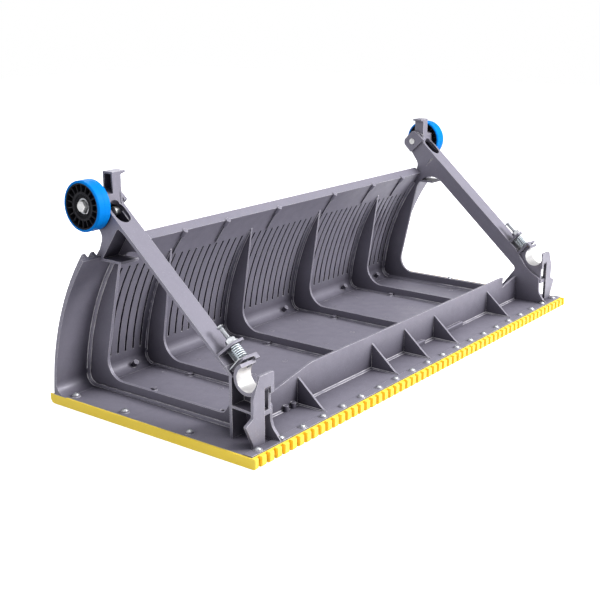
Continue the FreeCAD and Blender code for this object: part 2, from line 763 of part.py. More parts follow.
def head_outline():
    """Outside of the head above the riser, from the arm's top face round to the riser."""
    start = on_arm(ROLLER_Y - 72.0, -ARM_OFFSET)
    crown = arm_point(ROLLER_T - 18.0, -ARM_OFFSET)
    fin_front = ROLLER_Y - 22.0
    fin_rear = fin_front + FIN_WIDTH
    neck = on_ring(0, RISER_INNER + 7.0, RISER_ANGLE - 0.6)
    return [
        start,
        crown,
        (fin_front, ROLLER_Z + 15.0),
        (fin_rear, ROLLER_Z + 22.0),
        (ROLLER_Y + 11.0, ROLLER_Z + 19.0),
        (ROLLER_Y + 19.0, ROLLER_Z + 11.0),
        (ROLLER_Y + 19.0, ROLLER_Z - 7.0),
        (ROLLER_Y + 3.0, ROLLER_Z - 23.0),
        (ROLLER_Y - 14.0, ROLLER_Z - 47.0),
        (neck.y, neck.z),
    ]


def frame_web():
    """Flat web with its window, trimmed to the riser."""
    head = head_outline()
    arm_low = arm_point(CHEEK_FAR + 8.0, -ARM_OFFSET)
    inside = on_ring(0, RISER_INNER - 6.0, RISER_ANGLE - 3.0)
    skin = RISER_INNER + 10.0
    low = on_ring(0, skin, 1.0)
    outline = [arm_low] + head[:-1] + [
        (inside.y, inside.z + 16.0),
        (inside.y + 14.0, inside.z),
        (low.y, low.z + 40.0),
        (low.y, TREAD_TOP),
        (LEG_FRONT_Y - 14.0, TREAD_TOP),
        (LEG_FRONT_Y + LEG_WALL, TREAD_TOP + 22.0),
        (LEG_FRONT_Y + LEG_WALL, SEAT_Z - 42.0),
        (SEAT_Y + 13.0, SEAT_Z - 24.0),
    ]
    radii = [0] * len(outline)
    radii[1] = 0
    radii[4] = 3
    radii[5] = 5
    radii[6] = 5
    radii[7] = 4
    radii[8] = 12
    radii[9] = 16
    radii[-3] = 26
    radii[-2] = 4
    radii[-1] = 60
    web = yz_prism(outline, WEB_INNER_X, WEB_OUTER_X, radii)
    corners, corner_radii = window_outline()
    window = yz_prism(corners, WEB_INNER_X - 1, WEB_OUTER_X + 1, corner_radii)
    rim = box(
        WEB_INNER_X - 1, WEB_OUTER_X + 1, 0, TOOTH_LENGTH + RIM_WIDTH, TREAD_TOP - 1, TREAD_TOP + RIM_HEIGHT
    )
    comb, left, right = screw_places()
    room = SCREW_BOSS_RADIUS + FIT_GAP
    top = TREAD_TOP + SCREW_BOSS_HEIGHT + SCREW_HEAD_HEIGHT + 1
    bosses = []
    for x, y in comb:
        bosses.append(rod(room, Vector(x, y, 0), Vector(x, y, top)))
        bosses.append(box(x - room, x + room, -1, y, 0, top))
    return trimmed_to_riser(web.cut([window, rim] + bosses), WEB_INNER_X - 1, WEB_OUTER_X + 1)


def side_frame():
    """Right-hand side frame: web, arm flange, stop wall and roller head."""
    web = frame_web()
    top = -ARM_OFFSET
    under = top - FLANGE_THICKNESS
    start_t = CHEEK_FAR + 8.0
    end_t = ROLLER_T - 18.0
    flange = yz_prism(
        [arm_point(start_t, top), arm_point(end_t, top), arm_point(end_t, under), arm_point(start_t, under)],
        WEB_INNER_X, FLANGE_OUTER_X,
    )
    head = roller_head()
    pieces = [web, flange, head, stop_wall(), hook_fin()]
    whole = fused(pieces)
    cuts = [
        x_rod(BEARING_BORE_RADIUS + SHAFT_CLEARANCE, HEAD_INNER_X - 1, ROLLER_INNER_X + 1, ROLLER_Y, ROLLER_Z),
        head_hollow(),
        x_rod(HEAD_SCREW_SHANK, WEB_INNER_X + 1.0, WEB_OUTER_X + 1.0, *head_screw_place()),
        arm_rod(PIN_RADIUS + PIN_CLEARANCE, STOP_WALL_FAR - STOP_WALL_THICKNESS - 1, STOP_WALL_FAR + 1),
    ]
    return whole.cut(cuts)


def roller_head():
    """Block that carries the roller bolt, with its rear leg, pocket and shelf."""
    head = head_outline()
    start = head[0]
    apex = (start[0] + 26.0, start[1] + 12.0)
    shelf_z = head[-1][1] - 2.0
    leg_foot = (head[-1][0] - 9.5, shelf_z - SHELF_THICKNESS / 2)
    block = yz_prism(
        [start] + head[1:] + [leg_foot, apex],
        WEB_INNER_X, FLANGE_OUTER_X,
        [0, 0, 0, 3, 5, 5, 4, 12, 16, 0, 0, 4],
    )
    upper = x_rod(BOSS_RADIUS, WEB_INNER_X, FLANGE_OUTER_X, ROLLER_Y, ROLLER_Z)
    pad = yz_prism(
        [
            (ROLLER_Y - 27.0, ROLLER_Z + 5.0),
            (ROLLER_Y - 5.0, ROLLER_Z + 22.0),
            (ROLLER_Y + 11.0, ROLLER_Z + 19.0),
            (ROLLER_Y + 19.0, ROLLER_Z + 11.0),
            (ROLLER_Y + 19.0, ROLLER_Z - 7.0),
            (ROLLER_Y + 3.0, ROLLER_Z - 23.0),
        ],
        HEAD_INNER_X, WEB_INNER_X + 1, [2, 3, 5, 5, 4, 2],
    )
    shelf_front = on_arm(ROLLER_Y - 50.0, -ARM_OFFSET - ARM_DEPTH)
    shelf = yz_prism(
        [
            (shelf_front[0], shelf_z),
            (leg_foot[0] + 6.0, shelf_z),
            (leg_foot[0] + 6.0, shelf_z - SHELF_THICKNESS),
            (shelf_front[0], shelf_z - SHELF_THICKNESS),
        ],
        WEB_INNER_X, FLANGE_OUTER_X,
    )
    solid = fused([block, upper, pad])
    outside = Part.makeCylinder(
        RISER_INNER - FIT_GAP, FLANGE_OUTER_X - HEAD_INNER_X + 20, Vector(HEAD_INNER_X - 10, 0, 0), Vector(1, 0, 0)
    )
    cap = sector_box(
        HEAD_INNER_X - 11, FLANGE_OUTER_X + 11, RISER_INNER - FIT_GAP, STEP_DEPTH + 60,
        RISER_ANGLE + FIT_GAP / 4, 80.0,
    )
    inner = solid.common(outside)
    above = solid.common(cap)
    return fused([inner, above, shelf.common(outside)])


def stop_wall():
    """Cast wall across the arm that the lock pin's nut stops against."""
    near = STOP_WALL_FAR - STOP_WALL_THICKNESS
    base = -ARM_OFFSET - 1.0
    low = Vector(FLANGE_OUTER_X, *arm_point(near, base))
    outline = [
        (FLANGE_OUTER_X, base),
        (FLANGE_OUTER_X, -ARM_OFFSET + 4.0),
        (PIN_X + 9.0, STOP_WALL_RISE - 3.0),
        (WEB_INNER_X, STOP_WALL_RISE + 1.0),
        (WEB_INNER_X, base),
    ]
    points = []
    for x, w in outline:
        y, z = arm_point(near, w)
        points.append(Vector(x, y, z))
    face = Part.Face(rounded_wire(points, [0, 2, 9, 3, 0]))
    thick = Vector(0, STOP_WALL_THICKNESS * COS_ARM, STOP_WALL_THICKNESS * SIN_ARM)
    return face.extrude(thick)


def hollow_span():
    """X span of the hollow in the head."""
    return WEB_OUTER_X, FLANGE_OUTER_X - HOLLOW_WALL


def head_hollow():
    """Oval opening in the arm's top face, and the hollow it opens into."""
    x0, x1 = hollow_span()
    middle_t = ROLLER_T - 33.0
    middle_x = (x0 + x1) / 2
    half = (SLOT_LENGTH - SLOT_WIDTH) / 2
    up = Vector(0, -SIN_ARM, COS_ARM)
    low_w = -ARM_OFFSET - ARM_DEPTH + HOLLOW_FLOOR
    high_w = -ARM_OFFSET - HOLLOW_SKIN
    ends = []
    for t in (middle_t - half, middle_t + half):
        y, z = arm_point(t, high_w - 1)
        ends.append(Part.makeCylinder(SLOT_WIDTH / 2, 24.0, Vector(middle_x, y, z), up))
    slot = arm_block(
        middle_t - half, middle_t + half, high_w - 1, high_w + 23.0, middle_x - SLOT_WIDTH / 2, middle_x + SLOT_WIDTH / 2
    )
    room = [
        arm_point(middle_t - SLOT_LENGTH / 2, low_w), arm_point(ROLLER_T + HOLLOW_BEYOND, low_w),
        arm_point(ROLLER_T + HOLLOW_BEYOND, high_w), arm_point(middle_t - SLOT_LENGTH / 2, high_w),
    ]
    return fused(ends + [slot, yz_prism(room, x0, x1, [4, 2, 2, 4])])


def roller_nut():
    """Nut of the roller bolt, inside the head's hollow."""
    x0, x1 = hollow_span()
    nut = hexagon(BOLT_HEAD_ACROSS, Vector(x1, ROLLER_Y, ROLLER_Z), Vector(-1, 0, 0), ROLLER_NUT_HEIGHT)
    return nut.cut(x_rod(BEARING_BORE_RADIUS, x0, x1 + 1, ROLLER_Y, ROLLER_Z))


def head_screw_place():
    return arm_point(ROLLER_T - HEAD_SCREW_BACK, -ROLLER_OFFSET)


def head_screw():
    """Screw in the web, inside the head's hollow, with a domed round head."""
    y, z = head_screw_place()
    top = WEB_OUTER_X + HEAD_SCREW_HEIGHT
    head = x_rod(HEAD_SCREW_RADIUS, WEB_OUTER_X, top, y, z)
    rim = [edge for edge in head.Edges if abs(edge.BoundBox.XMin - top) < 0.01 and edge.BoundBox.XLength < 0.01]
    head = head.makeFillet(1.5, rim)
    shank = x_rod(HEAD_SCREW_SHANK, WEB_INNER_X + 1.0, WEB_OUTER_X + 1.0, y, z)
    return fused([head, shank])


def hook_fin():
    """Upright channel with a lip, which keeps the step down on its track."""
    front = ROLLER_Y - 22.0
    rear = front + FIN_WIDTH
    foot = ROLLER_Z + 10.0
    back = box(FIN_INNER_X, FIN_INNER_X + FIN_WALL, front, rear, foot, FIN_TOP)
    walls = [
        box(FIN_INNER_X, FIN_OUTER_X, front, front + FIN_WALL, foot, FIN_TOP),
        box(FIN_INNER_X, FIN_OUTER_X, rear - FIN_WALL, rear, foot, FIN_TOP),
    ]
    lip = xz_prism(
        [
            (FIN_INNER_X - FIN_TIP, FIN_TOP + 0.5), (FIN_INNER_X - FIN_TIP, FIN_TOP - 3.0),
            (FIN_INNER_X, FIN_TOP - 5.0), (FIN_OUTER_X, FIN_TOP - FIN_WALL), (FIN_OUTER_X, FIN_TOP),
            (FIN_INNER_X, FIN_TOP),
        ],
        front, rear, [1, 1, 3, 0, 0, 4],
    )
    gusset = yz_prism(
        [arm_point(ROLLER_T - 22.0, -ARM_OFFSET - 2), (front + 1, ROLLER_Z + 30.0), (front + 1, ROLLER_Z + 5.0)],
        FIN_INNER_X, FIN_INNER_X + FIN_WALL,
    )
    return fused([back, lip, gusset] + walls)


# Axle seat


def seat_point(radius, angle):
    turn = math.radians(angle)
    return SEAT_Y + radius * math.cos(turn), SEAT_Z + radius * math.sin(turn)


def axle_seat():
    """Right-hand axle seat: open ring, cheek for the lock pin, leg and horn."""
    outer = SEAT_RADIUS + SEAT_WALL
    ring = x_rod(outer, WEB_OUTER_X, FLANGE_OUTER_X, SEAT_Y, SEAT_Z)
    plate_x1 = WEB_OUTER_X + SEAT_PLATE
    front = LEG_FRONT_Y + LEG_WALL - 1.0
    rear = LEG_REAR_Y + LEG_WALL
    far_t = CHEEK_FAR + 8.0
    top = -ARM_OFFSET
    arm_top = arm_point(far_t, top)
    plate = yz_prism(
        [
            (front, LEG_DIVIDER_Z), (rear, LEG_DIVIDER_Z), (rear, SEAT_Z - 12.0),
            arm_point(far_t, top - FLANGE_THICKNESS), arm_top,
            arm_point(CHEEK_FAR - 2.0, top), (SEAT_Y, SEAT_Z + 8.0), (front, SEAT_Z + 4.0),
        ],
        WEB_OUTER_X, plate_x1,
    )
    flange = yz_prism(
        [
            arm_top, arm_point(CHEEK_NEAR - 6.0, top), arm_point(CHEEK_NEAR - 6.0, top - FLANGE_THICKNESS),
            arm_point(far_t, top - FLANGE_THICKNESS),
        ],
        WEB_OUTER_X, FLANGE_OUTER_X,
    )
    rear_top = on_arm(rear, top - FLANGE_THICKNESS / 2)[1]
    rear_wall = yz_prism(
        [
            (LEG_REAR_Y, TREAD_TOP), (rear, TREAD_TOP), (rear, rear_top),
            (LEG_REAR_Y, on_arm(LEG_REAR_Y, top - FLANGE_THICKNESS / 2)[1]),
        ],
        WEB_OUTER_X, FLANGE_OUTER_X,
    )
    divider = yz_prism(
        [
            (LEG_REAR_Y + 1, LEG_DIVIDER_Z + LEG_WALL), (front - 1, LEG_DIVIDER_Z + LEG_WALL - 3.0),
            (front - 1, LEG_DIVIDER_Z - 5.0), (front + 4, LEG_DIVIDER_Z - 1.0), (LEG_REAR_Y + 1, LEG_DIVIDER_Z + 1.0),
        ],
        WEB_OUTER_X, FLANGE_OUTER_X,
    )
    cheek = arm_block(CHEEK_NEAR, CHEEK_FAR, top - 2.0, CHEEK_RISE, CHEEK_INNER_X, FLANGE_OUTER_X - 6.0)
    hook = arm_block(CHEEK_NEAR - 5.0, CHEEK_FAR, CHEEK_RISE - 3.0, CHEEK_RISE, CHEEK_INNER_X, CHEEK_INNER_X + 9.0)
    mouth = Part.Face(Part.makePolygon([
        Vector(HORN_INNER_X - 20, *seat_point(0, 0)),
        Vector(HORN_INNER_X - 20, *seat_point(SEAT_RADIUS * 5, MOUTH_REAR_ANGLE)),
        Vector(HORN_INNER_X - 20, *seat_point(SEAT_RADIUS * 5, MOUTH_FRONT_ANGLE)),
        Vector(HORN_INNER_X - 20, *seat_point(0, 0)),
    ])).extrude(Vector(80, 0, 0))
    before = box(HORN_INNER_X - 20, FLANGE_OUTER_X + 20, LEG_FRONT_Y - 40, LEG_FRONT_Y, 0, HORN_TOP + 40)
    ring = ring.cut([mouth, before])
    plate = plate.cut([mouth, before])
    pieces = [ring, plate, flange, rear_wall, divider, front_plate(), cheek, hook]
    whole = fused(pieces)
    cuts = [
        x_rod(SEAT_RADIUS, WEB_OUTER_X - 0.01, FLANGE_OUTER_X + 0.01, SEAT_Y, SEAT_Z),
        x_rod(SEAT_RADIUS + SEAT_RELIEF, HORN_INNER_X - 20, WEB_OUTER_X, SEAT_Y, SEAT_Z),
        x_rod(SEAT_RADIUS + SEAT_RELIEF, FLANGE_OUTER_X, TAB_OUTER_X + 10, SEAT_Y, SEAT_Z),
        arm_rod(PIN_RADIUS + PIN_CLEARANCE, 2.0, CHEEK_FAR + 1),
    ]
    return whole.cut(cuts)


def arm_block(t0, t1, w0, w1, x0, x1):
    """Block square to the arm."""
    return yz_prism(
        [arm_point(t0, w0), arm_point(t1, w0), arm_point(t1, w1), arm_point(t0, w1)], x0, x1
    )


def front_plate():
    """Front of the leg: horn at the top, notch by the web, pointed tab at the foot."""
    notch_low = SEAT_Z - 23.0
    outline = [
        (HORN_INNER_X, HORN_TOP),
        (HORN_OUTER_X, HORN_TOP),
        (LEG_OUTER_X, SEAT_Z - 21.0),
        (LEG_OUTER_X, LEG_DIVIDER_Z),
        (TAB_OUTER_X, LEG_DIVIDER_Z - 8.0),
        (LEG_OUTER_X, TREAD_TOP + 4.0),
        (LEG_OUTER_X, TREAD_TOP),
        (LEG_INNER_X, TREAD_TOP),
        (LEG_INNER_X, notch_low),
        (LEG_INNER_X, notch_low + 14.0),
        (LEG_INNER_X - 14.0, notch_low + 15.0),
        (LEG_INNER_X - 14.0, notch_low + 1.0),
        (HORN_INNER_X, notch_low + 1.0),
    ]
    plate = xz_prism(outline, LEG_FRONT_Y, LEG_FRONT_Y + LEG_WALL, [2, 2, 6, 3, 1.5, 3, 0, 0, 0, 3, 3, 0, 2])
    bridge = box(
        LEG_INNER_X, FLANGE_OUTER_X, LEG_FRONT_Y + LEG_WALL - 1, LEG_FRONT_Y + LEG_WALL + 2,
        LEG_DIVIDER_Z - 4.0, SEAT_Z - 14.0,
    )
    return fused([plate, bridge])


# Spring lock


def spring_span():
    """Start and end of the spring along the pin."""
    start = CHEEK_FAR + GUARD_THICKNESS + COLLAR_LENGTH
    end = STOP_WALL_FAR - STOP_WALL_THICKNESS
    return start, end


def lock_pin():
    """Stepped pin: chamfered tip, collar for the spring, thread and thin tail."""
    shoulder = STOP_WALL_FAR + LOCK_WASHER_THICKNESS + LOCK_NUT_HEIGHT + 2.0
    start = CHEEK_FAR + GUARD_THICKNESS
    stem = arm_rod(PIN_RADIUS, PIN_TIP, shoulder)
    tail = arm_rod(TAIL_RADIUS, shoulder - 1, PIN_TAIL)
    collar = arm_rod(COLLAR_RADIUS, start, start + COLLAR_LENGTH)
    pin = fused([stem, collar, tail])
    direction = Vector(0, COS_ARM, SIN_ARM)
    tip = arm_vector(PIN_TIP, 0)
    cone = Part.makeCone(PIN_RADIUS - 1.2, PIN_RADIUS + 6.0, 7.2, tip, direction)
    behind = arm_rod(PIN_RADIUS + 8.0, PIN_TIP + 2.0, PIN_TAIL + 2.0)
    pin = pin.common(cone.fuse(behind))
    return pin.cut(arm_ring(TAIL_RADIUS + 2, TAIL_RADIUS - 0.8, clip_start(), clip_start() + CLIP_THICKNESS))


def clip_start():
    return PIN_TAIL - CLIP_THICKNESS - 1.0


def lock_spring():
    """Round-wire spring between the pin's collar and the stop wall."""
    start, end = spring_span()
    length = end - start - 2 * (SPRING_WIRE + SPRING_FIT / 2)
    pitch = length / SPRING_TURNS
    helix = Part.makeHelix(pitch, length, SPRING_RADIUS)
    profile = Part.Wire(Part.Circle(Vector(SPRING_RADIUS, 0, 0), Vector(0, 1, 0), SPRING_WIRE).toShape())
    coil = Part.Wire(helix.Edges).makePipeShell([profile], True, True)
    turn = FreeCAD.Rotation(Vector(0, 0, 1), Vector(0, COS_ARM, SIN_ARM))
    base = arm_vector(start + SPRING_WIRE + SPRING_FIT / 2, 0)
    coil.Placement = FreeCAD.Placement(base, turn)
    return coil


def spring_guard():
    """Bent plate under the spring, held between the cheek and the stop wall."""
    start = CHEEK_FAR
    end = STOP_WALL_FAR - STOP_WALL_THICKNESS
    foot = arm_block(start, start + GUARD_THICKNESS, -ARM_OFFSET, GUARD_RISE, WEB_OUTER_X + 0.2, FLANGE_OUTER_X - 2.0)
    high = -SPRING_RADIUS - SPRING_WIRE - TONGUE_GAP
    tongue = arm_block(start, end, high - GUARD_THICKNESS, high, PIN_X - TONGUE_WIDTH / 2, PIN_X + TONGUE_WIDTH / 2)
    guard = fused([foot, tongue])
    return guard.cut(arm_rod(PIN_RADIUS + 4 * PIN_CLEARANCE, start - 1, start + GUARD_THICKNESS + 0.5))


def lock_washer():
    start = STOP_WALL_FAR
    return arm_ring(LOCK_WASHER_RADIUS, PIN_RADIUS + PIN_CLEARANCE, start, start + LOCK_WASHER_THICKNESS)


def lock_nut():
    start = STOP_WALL_FAR + LOCK_WASHER_THICKNESS
    direction = Vector(0, COS_ARM, SIN_ARM)
    nut = hexagon(LOCK_NUT_ACROSS, arm_vector(start, 0), direction, LOCK_NUT_HEIGHT)
    return nut.cut(arm_rod(PIN_RADIUS, start - 1, start + LOCK_NUT_HEIGHT + 1))


def tail_clip():
    """Open spring clip in the groove at the pin's tail."""
    groove_t = clip_start()
    disc = arm_ring(CLIP_RADIUS, TAIL_RADIUS - 0.8, groove_t, groove_t + CLIP_THICKNESS)
    gap = arm_block(
        groove_t - 1, groove_t + CLIP_THICKNESS + 1, 0, CLIP_RADIUS + 2, PIN_X - 1.2, PIN_X + 1.2
    )
    return disc.cut(gap)


# Roller


def roller_ring(outer, inner, x0, x1):
    solid = x_rod(outer, x0, x1, ROLLER_Y, ROLLER_Z)
    return solid.cut(x_rod(inner, min(x0, x1) - 1, max(x0, x1) + 1, ROLLER_Y, ROLLER_Z))


def turned(outline):
    """Body of revolution about the roller's axis of an (x, radius) outline."""
    points = [Vector(x, ROLLER_Y + r, ROLLER_Z) for x, r in outline]
    face = Part.Face(Part.makePolygon(points + [points[0]]))
    return face.revolve(Vector(0, ROLLER_Y, ROLLER_Z), Vector(1, 0, 0), 360)


def roller_tyre():
    chamfer = 1.6
    return turned([
        (ROLLER_INNER_X, HUB_RADIUS), (ROLLER_INNER_X, ROLLER_RADIUS - chamfer),
        (ROLLER_INNER_X + chamfer, ROLLER_RADIUS), (ROLLER_OUTER_X - chamfer, ROLLER_RADIUS),
        (ROLLER_OUTER_X, ROLLER_RADIUS - chamfer), (ROLLER_OUTER_X, HUB_RADIUS),
    ])


def roller_hub():
    """Moulded hub: rim, thin web, and spokes on both faces."""
    rim_in = HUB_RADIUS - HUB_RIM
    core = HUB_WINDOW_IN
    face_in = ROLLER_INNER_X + 1.0
    face_out = ROLLER_OUTER_X - 1.0
    web_in = ROLLER_MID_X - HUB_WEB / 2
    web_out = ROLLER_MID_X + HUB_WEB / 2
    body = turned([
        (face_in, BEARING_OUTER_RADIUS), (face_in, core), (web_in, core), (web_in, rim_in),
        (face_in, rim_in), (face_in, HUB_RADIUS), (face_out, HUB_RADIUS), (face_out, rim_in),
        (web_out, rim_in), (web_out, core), (face_out - 1.5, core), (face_out - 1.5, core - 3.5),
        (face_out - 1.5 - HUB_RECESS, core - 5.0), (face_out - 1.5 - HUB_RECESS, BEARING_OUTER_RADIUS),
    ])
    spokes = []
    for i in range(HUB_WINDOWS):
        spoke = box(
            face_in + 0.6, face_out - 0.9, ROLLER_Y - HUB_SPOKE / 2, ROLLER_Y + HUB_SPOKE / 2,
            ROLLER_Z + core - 0.8, ROLLER_Z + rim_in + 0.6,
        )
        spoke.rotate(Vector(0, ROLLER_Y, ROLLER_Z), Vector(1, 0, 0), i * 360.0 / HUB_WINDOWS)
        spokes.append(spoke)
    return fused([body] + spokes)


def race_radii():
    inner_top = BEARING_BORE_RADIUS + RACE_THICKNESS
    outer_low = BEARING_OUTER_RADIUS - RACE_THICKNESS
    return inner_top, outer_low


def bearing_outer_ring():
    inner_top, outer_low = race_radii()
    return roller_ring(BEARING_OUTER_RADIUS, outer_low, BEARING_IN_X, BEARING_OUT_X)


def bearing_inner_ring():
    inner_top, outer_low = race_radii()
    return roller_ring(inner_top, BEARING_BORE_RADIUS, BEARING_IN_X, BEARING_OUT_X)


def bearing_balls():
    inner_top, outer_low = race_radii()
    radius = (outer_low - inner_top) / 2 - BALL_CLEARANCE
    path = (outer_low + inner_top) / 2
    balls = []
    for i in range(BALL_COUNT):
        turn = 2 * math.pi * i / BALL_COUNT
        centre = Vector(ROLLER_MID_X, ROLLER_Y + path * math.cos(turn), ROLLER_Z + path * math.sin(turn))
        balls.append(Part.makeSphere(radius, centre))
    return Part.makeCompound(balls)


def bearing_seals():
    """Rubber seals in both mouths of the bearing, clear of the inner ring."""
    inner_top, outer_low = race_radii()
    seals = []
    for x in (BEARING_IN_X, BEARING_OUT_X - 1.0):
        seals.append(roller_ring(outer_low, inner_top + 2 * BALL_CLEARANCE, x, x + 1.0))
    return Part.makeCompound(seals)


def roller_bolt():
    """Hexagon-headed bolt through the roller and the head of the frame."""
    head_x = BEARING_OUT_X
    shank = x_rod(BEARING_BORE_RADIUS, HEAD_INNER_X - 1.5, head_x + 1, ROLLER_Y, ROLLER_Z)
    seat = Vector(head_x, ROLLER_Y, ROLLER_Z)
    head = hexagon(BOLT_HEAD_ACROSS, seat, Vector(1, 0, 0), BOLT_HEAD_HEIGHT)
    return fused([shank, head])


def roller_spacer():
    """Collar between the head of the frame and the bearing's inner ring."""
    inner_top, outer_low = race_radii()
    neck = roller_ring(inner_top, BEARING_BORE_RADIUS, FLANGE_OUTER_X, BEARING_IN_X)
    foot = roller_ring(SPACER_RADIUS, BEARING_BORE_RADIUS, FLANGE_OUTER_X, FLANGE_OUTER_X + 1.2)
    return fused([neck, foot])


def main():
    write("tread_plate", tread_plate())
    write("riser_plate", riser_plate())
    write("cross_beam", cross_beam())
    write("tread_ribs", Part.makeCompound([rib(x) for x in rib_places()]))
    write_pair("side_frame", side_frame())
    write_pair("axle_seat", axle_seat())
    for index in range(COMB_COUNT):
        write("comb_strip_%d" % (index + 1), comb_strip(index))
    write_pair("side_strip", side_strip())
    comb, left, right = screw_places()
    write("comb_screws", Part.makeCompound([strip_screw(x, y) for x, y in comb]))
    write("left_strip_screws", Part.makeCompound([strip_screw(x, y) for x, y in left]))
    write("right_strip_screws", Part.makeCompound([strip_screw(x, y) for x, y in right]))
    write_pair("lock_pin", lock_pin())
    write_pair("lock_spring", lock_spring())
    write_pair("spring_guard", spring_guard())
    write_pair("lock_washer", lock_washer())
    write_pair("lock_nut", lock_nut())
    write_pair("tail_clip", tail_clip())
    write_pair("roller_tyre", roller_tyre())
    write_pair("roller_hub", roller_hub())
    write_pair("bearing_outer_ring", bearing_outer_ring())
    write_pair("bearing_inner_ring", bearing_inner_ring())
    write_pair("bearing_balls", bearing_balls())
    write_pair("bearing_seals", bearing_seals())
    write_pair("roller_bolt", roller_bolt())
    write_pair("roller_nut", roller_nut())
    write_pair("head_screw", head_screw())
    write_pair("roller_spacer", roller_spacer())


main()
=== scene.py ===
import math
import random
import bpy
import bmesh
from mathutils import Vector, Matrix


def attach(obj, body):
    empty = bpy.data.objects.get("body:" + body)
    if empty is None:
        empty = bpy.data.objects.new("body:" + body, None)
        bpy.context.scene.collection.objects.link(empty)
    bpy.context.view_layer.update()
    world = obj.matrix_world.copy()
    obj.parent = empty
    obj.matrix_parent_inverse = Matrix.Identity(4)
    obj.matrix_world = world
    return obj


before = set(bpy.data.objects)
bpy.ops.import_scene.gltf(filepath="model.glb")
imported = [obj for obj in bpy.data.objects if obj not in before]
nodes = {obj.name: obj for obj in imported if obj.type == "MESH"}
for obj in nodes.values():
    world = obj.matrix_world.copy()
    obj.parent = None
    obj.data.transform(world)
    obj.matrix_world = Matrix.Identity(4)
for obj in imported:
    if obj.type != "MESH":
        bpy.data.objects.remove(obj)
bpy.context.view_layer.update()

random.seed(41)
scene = bpy.context.scene

# sizes in millimetres, y from the comb tips, as the step lies on its tread
step = {"depth": 416.0, "half": 502.0, "tread": 16.0, "inner": 402.0, "corner": 18.0}
web = {"inner": 430.0, "outer": 435.0}
ribAt = [-304.8, -101.6, 101.6, 304.8]
gussetAt = [-304.8, -101.6, 0.0, 101.6, 304.8]
seat = {"y": 44.0, "z": 109.0, "r": 18.0}
roller = {"y": 331.0, "z": 320.0, "mid": 480.0, "r": 38.0}
armAngle = math.radians(41.396)
pinX = 444.0


def at(x, y, z):
    return Vector((x / 1000, (y - step["depth"] / 2) / 1000, z / 1000))


def armAt(t, w, x=pinX):
    y = seat["y"] + t * math.cos(armAngle) - w * math.sin(armAngle)
    z = seat["z"] + t * math.sin(armAngle) + w * math.cos(armAngle)
    return at(x, y, z)


def newGroup(name, inputs, outputs):
    group = bpy.data.node_groups.new(name, "ShaderNodeTree")
    for label, kind, value in inputs:
        socket = group.interface.new_socket(label, in_out="INPUT", socket_type=kind)
        socket.default_value = value
    for label, kind in outputs:
        group.interface.new_socket(label, in_out="OUTPUT", socket_type=kind)
    source = group.nodes.new("NodeGroupInput")
    sink = group.nodes.new("NodeGroupOutput")
    return group, source, sink


def addNode(tree, kind, settings=None, values=None):
    node = tree.nodes.new(kind)
    for key, value in (settings or {}).items():
        setattr(node, key, value)
    for key, value in (values or {}).items():
        node.inputs[key].default_value = value
    return node


def joinUp(tree, *pairs):
    for a, b in pairs:
        tree.links.new(a, b)


def mathNode(tree, op, a, b=None, clamp=False):
    node = addNode(tree, "ShaderNodeMath", {"operation": op, "use_clamp": clamp})
    for i, v in enumerate((a, b)):
        if v is None:
            continue
        if isinstance(v, (int, float)):
            node.inputs[i].default_value = v
        else:
            tree.links.new(v, node.inputs[i])
    return node.outputs[0]


def mixColour(tree, factor, a, b):
    node = addNode(tree, "ShaderNodeMix", {"data_type": "RGBA", "clamp_factor": True})
    for key, v in ((0, factor), (6, a), (7, b)):
        if isinstance(v, (int, float)):
            node.inputs[key].default_value = v
        elif isinstance(v, (tuple, list)):
            node.inputs[key].default_value = tuple(v) + (1.0,)
        else:
            tree.links.new(v, node.inputs[key])
    return node.outputs[2]


def ramp(tree, value, low, high, toLow=0.0, toHigh=1.0):
    node = addNode(tree, "ShaderNodeMapRange", {"clamp": True})
    node.inputs[1].default_value = low
    node.inputs[2].default_value = high
    node.inputs[3].default_value = toLow
    node.inputs[4].default_value = toHigh
    tree.links.new(value, node.inputs[0])
    return node.outputs[0]


